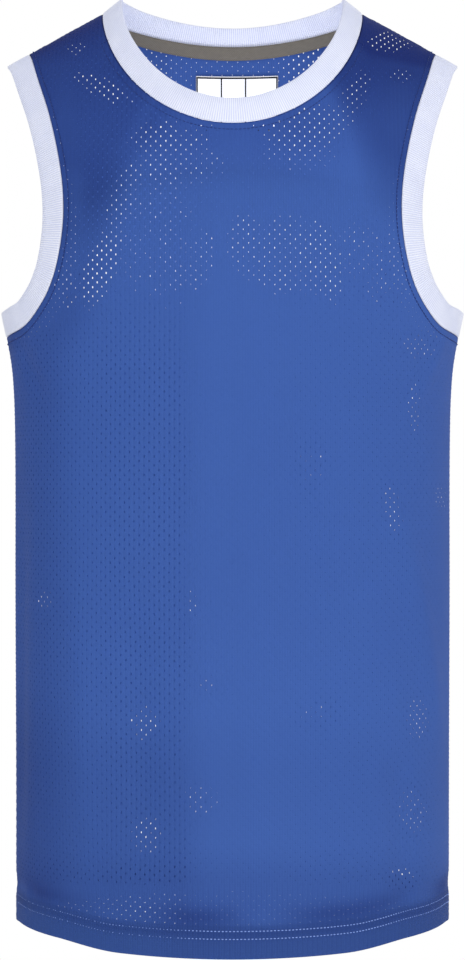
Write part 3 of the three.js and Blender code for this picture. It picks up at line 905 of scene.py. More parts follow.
@dataclass
class Sheet:
    """Points and faces that are gathered for one piece."""

    points: np.ndarray
    faces: list
    pattern: Optional[np.ndarray] = None
    marks: dict = field(default_factory=dict)

    def to_object(self, name: str, material: bpy.types.Material) -> bpy.types.Object:
        """Makes the piece in the scene.

        Args:
            name: The piece's name.
            material: Its finish.

        Returns:
            The piece, smooth, with its pattern map and its marks.
        """
        mesh = bpy.data.meshes.new(name)
        mesh.from_pydata((self.points * MM).tolist(), [], self.faces)
        mesh.update()
        if self.pattern is not None:
            corners = np.zeros(len(mesh.loops), dtype=np.int32)
            mesh.loops.foreach_get("vertex_index", corners)
            layer = mesh.uv_layers.new(name="pattern")
            layer.data.foreach_set("uv", (self.pattern[corners] * MM).astype(np.float32).ravel())
        for key, values in self.marks.items():
            mark = mesh.attributes.new(key, "FLOAT", "POINT")
            mark.data.foreach_set("value", np.asarray(values, np.float32))
        mesh.polygons.foreach_set("use_smooth", [True] * len(mesh.polygons))
        mesh.materials.append(material)
        piece = bpy.data.objects.new(name, mesh)
        bpy.context.scene.collection.objects.link(piece)
        return piece


@dataclass(frozen=True)
class Patch:
    """A patch, as seen from the front, where the holes of both panels stand in line."""

    x: float
    z: float
    half_width: float
    half_height: float
    slant: float = 0.0
    fullness: float = 1.0


@dataclass
class MeshHoles:
    """Places and sizes of the mesh's holes on both panels.

    Light comes through in soft patches where the holes of the two layers stand in line, as
    seen from the front. Elsewhere the back's holes lie between those of the front.
    """

    pattern: Pattern
    across: float = 7.5
    up: float = 6.6
    up_above: float = 7.3
    up_change: float = 50.0
    nearly: float = 1.35
    eye_distance: float = 1800.0
    eye_level: float = -340.5
    columns: int = 60
    rows: tuple[int, int] = (-90, 60)
    highest: float = 320.0
    search_start: tuple[float, float] = (0.95, 0.87)
    search_rounds: int = 14
    search_step: float = 12.0
    search_miss: float = 0.4
    open_back: float = 0.95
    open_front: float = 0.48
    open_right: float = 0.5
    shut_at_hem: float = 0.7
    shut_in_closed: float = 0.6
    patches: tuple[Patch, ...] = (
        Patch(-98, -41, 17, 14, -1.4, 0.8),
        Patch(-120, -11, 10, 6, 0, 0.6),
        Patch(120, -5, 18, 9, 0, 0.94),
        Patch(128, -31, 12, 6, 0, 0.66),
        Patch(88, -54, 14, 32, 0.5, 0.66),
        Patch(-48, -80, 36, 15, -0.3, 0.68),
        Patch(-40, -98, 44, 24, 0, 0.58),
        Patch(54, -72, 34, 24, 0.3, 0.78),
        Patch(48, -91, 36, 18, 0, 0.6),
        Patch(-101, -178, 13, 32, 0.3, 0.88),
        Patch(-84, -125, 14, 38, 0.3, 0.58),
        Patch(-52, -158, 50, 62, 0, 0.46),
        Patch(-24, -172, 14, 34, 0.2, 0.6),
        Patch(-125, -197, 6, 16, 0, 0.74),
        Patch(44, -168, 54, 38, 0, 0.62),
        Patch(68, -174, 18, 38, -0.25, 0.68),
        Patch(8, -156, 17, 28, 0.1, 0.63),
        Patch(102, -172, 28, 42, -0.3, 0.53),
        Patch(143, -238, 17, 14, 0, 0.56),
        Patch(-69, -525, 14, 16, 0, 0.58),
        Patch(-66, -611, 15, 18, 0, 0.58),
        Patch(-24, -585, 17, 16, 0, 0.58),
        Patch(-20, -497, 10, 10, 0, 0.58),
        Patch(122, -362, 8, 26, -0.2, 0.6),
        Patch(139, -283, 6, 26, 0, 0.61),
        Patch(159, -356, 6, 14, 0, 0.56),
        Patch(141, -523, 10, 20, 0, 0.62),
        Patch(137, -593, 15, 24, 0, 0.57),
        Patch(130, -645, 13, 10, 0, 0.76),
        Patch(-70, -669, 12, 5, 0, 0.3),
        Patch(-32, -436, 6, 14, 0, 0.6),
        Patch(-143, -432, 8, 9, 0, 0.54),
        Patch(60, -330, 16, 24, 0, 0.5),
        Patch(66, -520, 22, 14, 0.5, 0.5),
    )
    closed: tuple[Patch, ...] = (
        Patch(0, -76, 40, 9),
        Patch(-128, -118, 11, 72),
        Patch(-147, -214, 20, 16, 0.8),
        Patch(127, -110, 9, 84),
        Patch(150, -215, 20, 18, -0.8),
    )

    def sight(self, side: Side, spots: np.ndarray) -> np.ndarray:
        """Where places on the cloth are seen from the front, at the depth of the side seams."""
        point, _ = self.pattern.form.place(side, spots[:, 0], spots[:, 1])
        near = self.eye_distance / (self.eye_distance + point[:, 1])
        height = self.eye_level + (point[:, 2] - self.eye_level) * near
        return np.stack([point[:, 0] * near, height], axis=1)

    @staticmethod
    def within(patches: tuple[Patch, ...], seen: np.ndarray) -> np.ndarray:
        """How deep some seen places lie in the nearest patch, from 0 to 1."""
        total = np.zeros(len(seen))
        for patch in patches:
            up = (seen[:, 1] - patch.z) / patch.half_height
            lean = patch.slant * (seen[:, 1] - patch.z)
            out = (seen[:, 0] - patch.x - lean) / patch.half_width
            near = smooth((1.55 - np.hypot(out, up)) / 1.05) * patch.fullness
            total = np.maximum(total, near)
        return total

    def apart(self, seen: np.ndarray) -> np.ndarray:
        """How far the holes of both panels stand apart at some seen places."""
        miss = 1 - self.within(self.patches, seen)
        return self.nearly * miss + (self.across / 2 - self.nearly) * miss**4

    def lattice(self) -> np.ndarray:
        """Every place of the staggered grid, over more than a whole panel."""
        found = []
        for shift in (0.0, 0.5):
            u = (np.arange(-self.columns, self.columns + 1) + shift) * self.across
            row = (np.arange(*self.rows) + shift) * self.up
            past = np.maximum(row - self.up_change, 0)
            v = row + past * (self.up_above / self.up - 1)
            found.append(np.stack(np.meshgrid(u, v), axis=-1).reshape(-1, 2))
        return np.concatenate(found)

    def behind(self, targets: np.ndarray, start: np.ndarray) -> np.ndarray:
        """Places on the back that are seen behind some seen places.

        Args:
            targets: The seen places.
            start: Places on the back to start the search from.

        Returns:
            The places found; a place that is not to be found is left out.
        """
        spots = start.copy()
        for _ in range(self.search_rounds):
            sideways, upward = (
                (self.sight(Side.BACK, spots + way) - self.sight(Side.BACK, spots - way)) / 2
                for way in np.eye(2)
            )
            miss = targets - self.sight(Side.BACK, spots)
            size = sideways[:, 0] * upward[:, 1] - sideways[:, 1] * upward[:, 0]
            size = np.where(np.abs(size) < 0.02, np.inf, size)
            step_u = (miss[:, 0] * upward[:, 1] - miss[:, 1] * upward[:, 0]) / size
            step_v = (sideways[:, 0] * miss[:, 1] - sideways[:, 1] * miss[:, 0]) / size
            step = np.stack([step_u, step_v], axis=1)
            spots += np.clip(step, -self.search_step, self.search_step)
        miss = np.abs(targets - self.sight(Side.BACK, spots)).max(axis=1)
        return spots[miss < self.search_miss]

    def places(self, side: Side) -> np.ndarray:
        """Middles of the holes of a panel, over more than its whole cut.

        Args:
            side: The panel.

        Returns:
            The places on its cloth.
        """
        grid = self.lattice()
        if side is Side.FRONT:
            return grid
        form, pattern = self.pattern.form, self.pattern
        girth = form.girth(Side.FRONT, form.chest_level + np.minimum(grid[:, 1], 0))
        used = (np.abs(grid[:, 0]) < girth) & (grid[:, 1] < self.highest)
        used &= form.chest_level + grid[:, 1] > form.lowest + 1
        grid = grid[used]
        seen = self.sight(Side.FRONT, grid)
        moved = grid + np.stack([self.apart(seen), np.zeros(len(grid))], axis=1)
        targets = self.sight(Side.FRONT, moved)
        found = self.behind(targets, grid * self.search_start)
        edge = pattern.hem_climb(side, found[:, 0])
        plain = self.lattice()
        under = plain[:, 1] < pattern.hem_climb(side, plain[:, 0])
        return np.concatenate([found[found[:, 1] > edge], plain[under]])

    def openness(self, side: Side, spots: np.ndarray) -> np.ndarray:
        """How far the holes are pulled open at some places.

        Args:
            side: The panel.
            spots: The places on its cloth.

        Returns:
            A share of the full size for each hole. The front's are fullest over the wearer's
            right and in the patches where light comes through, and least on the hem. The back's
            are shut a little more inside the neck.
        """
        seen = self.sight(side, spots)
        x, z = seen.T
        if side is Side.BACK:
            shown = 0.36 + 0.5 * rise(x, 32, 50) + 0.2 * rise(x, -42, -52)
            in_neck = rise(z, -66, -52) * rise(np.abs(x), 92, 82)
            return self.open_back + (shown - self.open_back) * in_neck
        past = -x - 30 - 2.5 * np.sin(z / 23)
        base = self.open_front + self.open_right * rise(past, 0, 12)
        base = base - (0.14 + 0.1 * rise(z, -440, -580)) * rise(x, -82, -108)
        base = base * (1 - self.shut_at_hem * rise(z, -646, -653))
        base = base * (1 - self.shut_in_closed * self.within(self.closed, seen))
        lit = self.within(self.patches, seen)
        return base + np.maximum(0.52 + 0.42 * lit - base, 0) * smooth(lit * 1.6)


@dataclass(frozen=True)
class PaintedShade:
    """Painted shade on the mesh, place by place, as shares of the deep blue in its colour.

    Places are those seen from the front, in millimetres: x towards the wearer's left, z up.
    Each share below belongs to the part of the jersey that it is named for.
    """

    strap: float = 0.64
    strap_behind: float = 0.45
    strap_slope: float = 1.385
    strap_fade: tuple[float, float] = (-22, 62)
    strap_rim: float = 0.12
    yoke: float = 0.44
    yoke_foot: float = 0.04
    yoke_behind: float = 0.38
    ridge: float = 0.9
    ridge_facing: float = 0.46
    flank: float = 0.2
    dent: float = 0.2
    dent_ripple: float = 0.18
    groove: float = 0.2
    hem: float = 0.08
    low: float = 0.1
    lowest: float = 0.16
    right: float = 0.13
    edge: float = 0.24
    overlap: float = 0.35

    def straps(self, x: np.ndarray, z: np.ndarray, front: bool) -> np.ndarray:
        """Painted shade where the straps lean back: deep above a slanting line, less in a rim at
        the right armhole.
        """
        past = z + 65 + (np.abs(x) - 63) * self.strap_slope + 7 * np.sin(x / 15 + 1)
        past = past + 26 * rise(x, 0, -30) - 6 * rise(x, 0, 30)
        if not front:
            return self.strap_behind * rise(past, *self.strap_fade)
        deepest = self.strap + (0.1 + 0.14 * rise(x, 0, 20)) * rise(z, -75, -15)
        rim = self.strap_rim * rise(x, -108, -120) * rise(z, -95, -115) * rise(z, -150, -130)
        return deepest * rise(past, *self.strap_fade) - rim

    def under_neck(self, x: np.ndarray, z: np.ndarray, front: bool) -> np.ndarray:
        """Painted shade on the yoke, which leans back a little less; it fades out down the chest.
        """
        if not front:
            return self.yoke_behind * rise(z, -118, -66)
        yoke = self.yoke * rise(z, -128, -66) + self.yoke_foot * rise(z, -165, -125)
        return yoke * (1 - 0.25 * rise(x, 40, 90))

    def sides(self, x: np.ndarray, z: np.ndarray, above: np.ndarray) -> np.ndarray:
        """Painted shade on the wearer's right side of the body and its edge, which turn away from
        the light.
        """
        right = self.right * rise(z, -480, -630) * rise(x, -15, -45) * rise(x, -150, -110)
        edge = self.edge * rise(x, -112, -148) * rise(z, -60, -180)
        edge = edge * (1 + 0.4 * rise(z, -480, -540)) * (1 - rise(z, -640, -670))
        rim = 0.05 * rise(x, -144, -156) * rise(z, -480, -540) * rise(z, -660, -630)
        return right * rise(above, 14, 26) + edge + rim

    def hem_zone(
        self, x: np.ndarray, z: np.ndarray, across: np.ndarray, above: np.ndarray, depth: float
    ) -> np.ndarray:
        """Painted shade that deepens towards the hem, in the dent over it and between its stitches.
        """
        ripple = -np.sin(across / 19 + 0.7 * np.sin(across / 31))
        dent = (self.dent + self.dent_ripple * ripple) * bell(above, 28, 8)
        hem = self.hem * rise(above, depth, depth - 4)
        low = self.low * rise(z, -510, -570)
        low = low + (self.lowest + 0.08 * rise(x, -70, -20)) * rise(z, -615, -660)
        return np.maximum(dent, hem) + self.groove * bell(above, 17, 4) + low

    def armhole_fold(self, x: np.ndarray, z: np.ndarray) -> np.ndarray:
        """Painted shade of a soft fold that runs down from the wearer's right armhole."""
        fold = bell(x + 98 - 0.25 * (z + 119), 0, 16)
        return self.flank * fold * rise(z, -80, -130) * rise(z, -250, -205)

    def over_ridge(self, x: np.ndarray, facing_up: np.ndarray) -> np.ndarray:
        """Painted shade on the shoulder ridge, deeper the more the cloth faces up into the light.
        """
        return self.ridge * np.maximum(facing_up - self.ridge_facing, 0) * (1 + 2 * rise(x, 0, 40))

    def meeting(self, strap: np.ndarray, yoke: np.ndarray) -> np.ndarray:
        """Where the right strap fades into the yoke, part of both painted shades counts."""
        return self.overlap * np.minimum(strap, yoke) * (1 - rise(strap, 0.35, 0.6))


@dataclass
class MeshPanel:
    """A panel of holed mesh cloth, cut round its seams, with its hem turned up inside."""

    pattern: Pattern
    holes: MeshHoles
    side: Side
    name: str
    node: str
    hole_width: float = 1.2
    hole_height: float = 2.0
    hole_sides: int = 8
    size_change: float = 0.08
    place_change: float = 0.15
    relief: float = 0.14
    edge_step: float = 4.0
    edge_strip: float = 1.3
    seam_margin: float = 1.2
    rolls: tuple[tuple[float, float], ...] = ((0.75, 0.08), (0.35, 0.3), (0.0, 0.8), (-0.1, 1.6))
    rounds: int = 4
    # Painted shade for the mesh's colour, place by place.
    dye_and_painted_shade: PaintedShade = PaintedShade()

    def outline(self) -> tuple[np.ndarray, np.ndarray]:
        """The seam line all round the panel, and which of its points roll in at a seam.

        Returns:
            Places on the cloth, counterclockwise, and a number for each of them: 1 where the
            edge rolls in and 0 along the free edge of the turn-up.
        """
        pattern, side = self.pattern, self.side
        turn_up = math.pi * pattern.hem_roll + pattern.hem_depth
        seam = pattern.side_seam(side)
        low = seam[0, 0]
        hem_at = lambda across: pattern.hem_climb(side, across)
        steps = lambda line: max(int(lengths_along(line)[-1] / self.edge_step), 2)
        spread = lambda line: resample(line, steps(line) + 1)
        flat = np.linspace(-low, low, int(2 * low / self.edge_step))
        bottom = np.stack([flat, hem_at(flat) - turn_up], axis=1)
        turned = np.linspace(-turn_up, 0, 8)
        hem_side = np.stack([np.full(8, low), hem_at(low) + turned], axis=1)
        right = [
            hem_side,
            spread(seam),
            spread(pattern.armhole_line(side)),
            spread(pattern.shoulder_seam(side)),
            spread(pattern.neck_seam(side)[::-1]),
        ]
        rising = np.concatenate([one[:-1] for one in right] + [right[-1][-1:]])
        mirrored = rising[::-1][1:] * np.array([-1, 1])
        line = np.concatenate([bottom[:-1], rising, mirrored[:-1]])
        rolled = line[:, 1] > hem_at(line[:, 0]) + 0.5
        return line, rolled.astype(float)

    def inset(self, line: np.ndarray, distance: float) -> np.ndarray:
        """Moves a closed line inwards on the flat pattern by a distance."""
        before, after = np.roll(line, 1, axis=0), np.roll(line, -1, axis=0)
        first, second = unit(line - before), unit(after - line)
        normals = [np.stack([-one[:, 1], one[:, 0]], axis=1) for one in (first, second)]
        middle = unit(normals[0] + normals[1])
        stretch = 1 / np.maximum((middle * normals[0]).sum(axis=1, keepdims=True), 0.5)
        return line + middle * stretch * distance

    def hole_places(self, line: np.ndarray) -> np.ndarray:
        """Middles of the holes, kept off the edges and the hem's fold."""
        low, high = line.min(axis=0), line.max(axis=0)
        spots = self.holes.places(self.side)
        spots = spots[((spots > low) & (spots < high)).all(axis=1)]
        spots = spots[np.lexsort((spots[:, 0], spots[:, 1]))]
        margin = self.inset(line, self.edge_strip + self.seam_margin + self.hole_height / 2)
        spots = spots[self.inside(margin, spots)]
        fold = self.pattern.hem_climb(self.side, spots[:, 0])
        past = fold - spots[:, 1]
        bend = math.pi * self.pattern.hem_roll
        clear = (past < -self.hole_height * 0.8) | (past > bend + self.hole_height * 0.8)
        return spots[clear]

    @staticmethod
    def inside(line: np.ndarray, spots: np.ndarray) -> np.ndarray:
        """Which places lie inside a closed line."""
        hit = np.zeros(len(spots), bool)
        ends = np.roll(line, -1, axis=0)
        for (x0, y0), (x1, y1) in zip(line, ends):
            if y0 == y1:
                continue
            crosses = (y0 > spots[:, 1]) != (y1 > spots[:, 1])
            x = x0 + (spots[:, 1] - y0) * (x1 - x0) / (y1 - y0)
            hit ^= crosses & (spots[:, 0] < x)
        return hit

    def flat_mesh(self) -> tuple:
        """Cuts the flat cloth into triangles round its holes.

        Returns:
            Flat places, triangles, the relief of each place, and the numbers of the edge's places.
        """
        line, rolled = self.outline()
        rim = self.inset(line, self.edge_strip)
        spots = self.hole_places(line)
        rng = np.random.default_rng(SEED + self.side.value)
        change = self.place_change * (1 if self.side is Side.FRONT else 1.7)
        spots = spots + rng.normal(0, change / 2, spots.shape)
        scale = self.holes.openness(self.side, spots)
        scale = scale * (1 + rng.normal(0, self.size_change / 2, len(spots)))
        turn = (np.arange(self.hole_sides) + 0.5) * 2 * math.pi / self.hole_sides
        size = np.array([self.hole_width, self.hole_height])
        ring = np.stack([np.cos(turn), np.sin(turn)], 1) * size / 2
        rings = spots[:, None, :] + ring[None] * scale[:, None, None]
        knots = spots + np.array([self.holes.across / 2, 0])
        knots = knots[self.inside(self.inset(rim, 1.2), knots)]
        places = np.concatenate([rim, rings.reshape(-1, 2), knots])
        first = len(rim)
        faces = [list(range(first))]
        for i in range(len(spots)):
            start = first + i * self.hole_sides
            faces.append(list(range(start, start + self.hole_sides)))
        extra, edges = self.fold_lines(len(places))
        places = np.concatenate([places, extra])
        vectors = [Vector(one) for one in places]
        made = delaunay_2d_cdt(vectors, edges, faces, 0, 1e-6, True)
        out, _, triangles, from_place, _, from_face = made
        kept = [face for face, origin in zip(triangles, from_face) if list(origin) == [0]]
        flat = np.array([tuple(one) for one in out])
        relief = np.zeros(len(flat))
        holes_end = first + len(spots) * self.hole_sides
        numbers = {}
        for i, origins in enumerate(from_place):
            for origin in origins:
                if origin < first:
                    numbers[origin] = i
                elif origin < holes_end:
                    relief[i] = self.relief
                elif origin < holes_end + len(knots):
                    relief[i] = -self.relief
        rim_numbers = np.array([numbers[i] for i in range(first)])
        return flat, kept, relief, rim_numbers, line, rolled

    def shade(self, spots: np.ndarray, facing: np.ndarray, above: np.ndarray) -> np.ndarray:
        """How far painted shade deepens the mesh's colour at some places.

        Args:
            spots: The places on the cloth.
            facing: The way that the cloth faces there.
            above: How far they lie above the hem's lower edge.

        Returns:
            Shares from 0 to 1.
        """
        x, z = self.holes.sight(self.side, spots).T
        dye_and_painted_shade, front = self.dye_and_painted_shade, self.side is Side.FRONT
        strap, yoke = dye_and_painted_shade.straps(x, z, front), dye_and_painted_shade.under_neck(x, z, front)
        total = np.maximum(strap, yoke) + dye_and_painted_shade.over_ridge(x, facing[:, 2])
        total = total + dye_and_painted_shade.sides(x, z, above)
        total = total + dye_and_painted_shade.hem_zone(x, z, spots[:, 0], above, self.pattern.hem_depth)
        if front:
            total = total + dye_and_painted_shade.armhole_fold(x, z) + dye_and_painted_shade.meeting(strap, yoke) * (x < 0)
        return np.clip(total, 0, 1)

    def fold_lines(self, start: int) -> tuple[np.ndarray, list]:
        """Lines along the hem's fold, where the cloth bends round.

        Args:
            start: The number that the first of their places will have.

        Returns:
            The places and the edges between them.
        """
        roll = self.pattern.hem_roll
        reach = self.pattern.side_seam(self.side)[0, 0] - self.edge_strip - 0.6
        across = np.linspace(-reach, reach, int(2 * reach / self.edge_step))
        places, edges = [], []
        for past in np.linspace(-0.6, math.pi * roll + 0.6, self.rounds + 3):
            number = start + len(places)
            places.extend(zip(across, self.pattern.hem_climb(self.side, across) - past))
            edges.extend((number + i, number + i + 1) for i in range(len(across) - 1))
        return np.array(places), edges

    def build(self, material: bpy.types.Material) -> bpy.types.Object:
        """Makes the panel with its rolled seam edges and works out its cut size."""
        flat, faces, relief, rim, line, rolled = self.flat_mesh()
        pattern = self.pattern
        points = pattern.cloth(self.side, flat[:, 0], flat[:, 1], relief)
        seam = np.zeros(len(flat))
        rows = [rim]
        all_points, all_flat, all_seam_shade = [points], [flat], [seam]
        total = len(flat)
        for distance, sink in self.rolls:
            strip = self.inset(line, distance)
            all_points.append(pattern.cloth(self.side, strip[:, 0], strip[:, 1], sink * rolled))
            all_flat.append(strip)
            # Painted seam shade: darkest where the edge rolls in under the band, fading over the
            # edge strip.
            all_seam_shade.append(np.interp(distance, (0, self.edge_strip), (1, 0)) ** 0.5 * rolled)
            rows.append(np.arange(total, total + len(line)))
            total += len(line)
        around = np.arange(len(line))
        ahead = np.roll(around, -1)
        for inner, outer in zip(rows, rows[1:]):
            quads = np.stack([inner[around], outer[around], outer[ahead], inner[ahead]], axis=1)
            faces.extend(quads.tolist())
        if self.side is Side.BACK:
            faces = [list(face)[::-1] for face in faces]
        spots = np.concatenate(all_flat)
        facing = pattern.form.place(self.side, spots[:, 0], spots[:, 1])[1]
        above = spots[:, 1] - pattern.hem_climb(self.side, spots[:, 0])
        marks = {
            # Painted seam shade, painted shade over the panel, and how open the holes are.
            "seam": np.concatenate(all_seam_shade),
            "shade": self.shade(spots, facing, above),
            "open": np.where(above < 0, 0, self.holes.openness(self.side, spots)),
        }
        sheet = Sheet(np.concatenate(all_points), faces, spots, marks)
        piece = sheet.to_object(self.name, material)
        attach(piece, BODY)
        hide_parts(self.node)
        size = np.ptp(line, axis=0)
        ahead_line = np.roll(line, -1, axis=0)
        area = abs((line[:, 0] * ahead_line[:, 1] - line[:, 1] * ahead_line[:, 0]).sum()) / 2
        self.flat_size = (size[0] * MM, size[1] * MM)
        self.flat_area = area * MM * MM
        LOG.info("%s: %d faces, flat %.3f x %.3f m", self.name, len(faces), *self.flat_size)
        return piece


@dataclass
class Ring:
    """A closed seam, as points with the way that the cloth faces there."""

    points: np.ndarray
    facings: np.ndarray
    blur: int = 9

    def stations(self, count: int, stand: float) -> tuple[np.ndarray, ...]:
        """Frames for a band along the seam.

        Args:
            count: How many there are round the ring.
            stand: How far the band stands up from the cloth, in radians.

        Returns:
            Points, the ways into the opening, the ways that the band faces, and the distances
            along the seam.
        """
        closed = np.concatenate([self.points, self.points[:1]])
        facing = np.concatenate([self.facings, self.facings[:1]])
        along = lengths_along(closed)
        wanted = np.arange(count) * along[-1] / count
        point = np.stack([np.interp(wanted, along, one) for one in closed.T], axis=1)
        normal = np.stack([np.interp(wanted, along, one) for one in facing.T], axis=1)
        width = max(int(count * self.blur / along[-1]), 1)
        kernel = np.hanning(2 * width + 3)[1:-1]
        kernel /= kernel.sum()
        for values in (point, normal):
            for axis in range(3):
                one = values[:, axis]
                padded = np.concatenate([one[-width:], one, one[:width]])
                values[:, axis] = np.convolve(padded, kernel, mode="valid")
        normal = unit(normal)
        chord = np.roll(point, -1, axis=0) - np.roll(point, 1, axis=0)
        away = unit(np.cross(chord, normal))
        inward = point.mean(axis=0) - point
        away *= np.where((away * inward).sum(axis=1, keepdims=True) < 0, -1, 1)
        turned = away * math.cos(stand) + normal * math.sin(stand)
        face = normal * math.cos(stand) - away * math.sin(stand)
        return point, turned, face, wanted, along[-1]


@dataclass
class RibBand:
    """A rib-knit band, folded double and sewn round an opening."""

    ring: Ring
    name: str
    node: str
    width: float
    stand: float = 0.0
    rib: float = 1.8
    rib_depth: float = 0.3
    thickness: float = 2.0
    wall: float = 1.2
    per_rib: int = 4

    def profile(self) -> np.ndarray:
        """The folded band's section from its outer seam edge to its inner one.

        Returns:
            Rows of the distance out from the seam, the lift, and the share of the rib relief.
        """
        top = (self.thickness - self.wall) / 2
        low = top - self.thickness
        round_off = self.thickness * 0.45
        return np.array(
            [
                (0.15, -0.95, 0.0),
                (0.2, -0.35, 0.2),
                (0.5, top - 0.3, 0.6),
                (1.4, top - 0.02, 1.0),
                (self.width * 0.35, top + 0.1, 1.0),
                (self.width * 0.7, top + 0.1, 1.0),
                (self.width - round_off, top, 1.0),
                (self.width - round_off * 0.25, top - round_off * 0.5, 1.0),
                (self.width, (top + low) / 2, 1.0),
                (self.width - round_off * 0.25, low + round_off * 0.5, 1.0),
                (self.width - round_off, low, 1.0),
                (self.width * 0.6, low - 0.05, 1.0),
                (1.6, low, 1.0),
                (0.4, low + 0.25, 0.5),
                (0.2, low + 0.55, 0.0),
            ]
        )

    def build(self, material: bpy.types.Material) -> bpy.types.Object:
        """Makes the band with its ribs and works out its cut size."""
        closed = np.concatenate([self.ring.points, self.ring.points[:1]])
        ribs = round(lengths_along(closed)[-1] / self.rib)
        count = ribs * self.per_rib
        point, away, face, along, total = self.ring.stations(count, self.stand)
        wave = (np.cos(np.arange(count) * 2 * math.pi / self.per_rib) + 1) / 2
        profile = self.profile()
        middle = np.full(len(profile), profile[:, 1].mean())
        out_way = unit(profile[:, :2] - np.stack([profile[:, 0], middle], 1))
        out_way[profile[:, 0].argmax()] = (1, 0)
        points = np.zeros((count, len(profile), 3))
        flat = np.zeros((count, len(profile), 2))
        painted_valley_shade = np.zeros((count, len(profile)))
        run = lengths_along(profile[:, :2])
        for j, (out, lift, share) in enumerate(profile):
            sink = (1 - wave) * self.rib_depth * share
            reach = out - out_way[j, 0] * sink
            height = lift - out_way[j, 1] * sink
            points[:, j] = point + away * reach[:, None] + face * height[:, None]
            flat[:, j, 0] = along
            flat[:, j, 1] = run[j]
            # Share of painted shade in each rib's valley.
            painted_valley_shade[:, j] = (1 - wave) * share
        across = len(profile)
        number = np.arange(count * across).reshape(count, across)
        ahead = np.roll(number, -1, axis=0)
        quads = np.stack([number[:, :-1], ahead[:, :-1], ahead[:, 1:], number[:, 1:]], axis=-1)
        faces = quads.reshape(-1, 4).tolist()
        sheet = Sheet(
            points.reshape(-1, 3), faces, flat.reshape(-1, 2), {"painted_valley_shade": painted_valley_shade.ravel()}
        )
        if self.faces_inward(sheet, face, across):
            sheet.faces = [one[::-1] for one in sheet.faces]
        piece = sheet.to_object(self.name, material)
        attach(piece, BODY)
        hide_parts(self.node)
        self.flat_size = (total * MM, 2 * (self.width + 1) * MM)
        told = (self.name, ribs, len(faces), *self.flat_size)
        LOG.info("%s: %d ribs, %d faces, flat %.3f x %.3f m", *told)
        return piece

    @staticmethod
    def faces_inward(sheet: Sheet, face: np.ndarray, across: int) -> bool:
        """Whether the outer layer's faces point the wrong way."""
        a, b, _, d = (sheet.points[i] for i in sheet.faces[4])
        return float(np.cross(b - a, d - a) @ face[0]) < 0


@dataclass
class Strip:
    """A thin woven strip laid along rows of places on the cloth."""

    name: str
    thickness: float
    slot: str
    node: str
    softened: float = 0.3

    def build(
        self, rows: list, facings: list, flat: np.ndarray, material: bpy.types.Material
    ) -> bpy.types.Object:
        """Makes the strip as a closed thin slab with softened edges.

        Args:
            rows: The points of its hidden face, as rows along it.
            facings: The way that its shown face looks at each point.
            flat: The places on the strip's own flat pattern.
            material: Its finish.

        Returns:
            The piece.
        """
        hidden, normal = np.array(rows), np.array(facings)
        length, across = hidden.shape[:2]
        shown = hidden + normal * self.thickness
        soft = np.zeros((length, across, 1))
        soft[:, [0, -1]] = self.thickness * self.softened
        soft[[0, -1]] = self.thickness * self.softened
        hidden = hidden + normal * soft
        shown = shown - normal * soft
        number = np.arange(length * across).reshape(length, across)
        quads = np.stack([number[:-1, :-1], number[1:, :-1], number[1:, 1:], number[:-1, 1:]], -1)
        under = quads.reshape(-1, 4)
        over = under[:, ::-1] + number.size
        down, up = number[:, 0], number[::-1, -1]
        border = np.concatenate([down, number[-1, 1:], up[1:], number[0, ::-1][1:-1]])
        ahead = np.roll(border, -1)
        rim = np.stack([border, border + number.size, ahead + number.size, ahead], axis=1)
        faces = np.concatenate([under, over, rim]).tolist()
        points = np.concatenate([hidden.reshape(-1, 3), shown.reshape(-1, 3)])
        patterns = np.concatenate([flat.reshape(-1, 2)] * 2)
        a, b, _, d = (points[i] for i in faces[0])
        if float(np.cross(b - a, d - a) @ normal[0, 0]) > 0:
            faces = [one[::-1] for one in faces]
        piece = Sheet(points, faces, patterns).to_object(self.name, material)
        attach(piece, BODY)
        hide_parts(self.node)
        return piece


@dataclass
class Stitching:
    """A row of stitches laid along a line on the cloth, each one a short bowed thread."""

    pitch: float = 3.0
    length: float = 2.1
    thread: float = 0.42
    bow: float = 0.2
    sides: int = 6
    steps: int = 5

    def build(
        self, name: str, points: np.ndarray, facings: np.ndarray, slot: str, material
    ) -> bpy.types.Object:
        """Makes a row of stitches.

        Args:
            name: The row's name.
            points: Points along the row, on the cloth's face.
            facings: The way that the cloth faces at each of them.
            slot: The record's material slot; not used.
            material: The thread's finish.

        Returns:
            The piece, with all the stitches of the row.
        """
        along = lengths_along(points)
        starts = np.arange(self.pitch / 2, along[-1] - self.pitch, self.pitch)
        steps = np.linspace(0, 1, self.steps)
        turn = np.arange(self.sides) * 2 * math.pi / self.sides
        at = starts[:, None] + steps[None] * self.length
        middle = np.stack([np.interp(at, along, one) for one in points.T], axis=-1)
        normal = unit(np.stack([np.interp(at, along, one) for one in facings.T], axis=-1))
        ahead = unit(middle[:, -1:] - middle[:, :1]) * np.ones((1, self.steps, 1))
        side = unit(np.cross(ahead, normal))
        lift = np.sin(steps * math.pi) * (self.bow + self.thread / 2) - self.thread * 0.35
        radius = self.thread / 2 * np.sin(0.25 * math.pi + steps * 0.5 * math.pi) ** 0.5
        centre = middle + normal * lift[None, :, None]
        ring = (
            centre[:, :, None]
            + side[:, :, None] * (np.cos(turn)[None, None, :, None] * radius[None, :, None, None])
            + normal[:, :, None] * (np.sin(turn)[None, None, :, None] * radius[None, :, None, None])
        )
        number = np.arange(ring.shape[0] * ring.shape[1] * ring.shape[2]).reshape(ring.shape[:3])
        next_side = np.roll(number, -1, axis=2)
        quads = np.stack(
            [number[:, :-1], number[:, 1:], next_side[:, 1:], next_side[:, :-1]], axis=-1
        ).reshape(-1, 4)
        faces = quads.tolist() + number[:, 0].tolist() + number[:, -1, ::-1].tolist()
        flat = ring.reshape(-1, 3)
        a, b, _, d = (flat[i] for i in faces[0])
        if float(np.cross(b - a, d - a) @ (a - centre[0, 0])) < 0:
            faces = [one[::-1] for one in faces]
        piece = Sheet(flat, faces).to_object(name, material)
        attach(piece, BODY)
        return piece


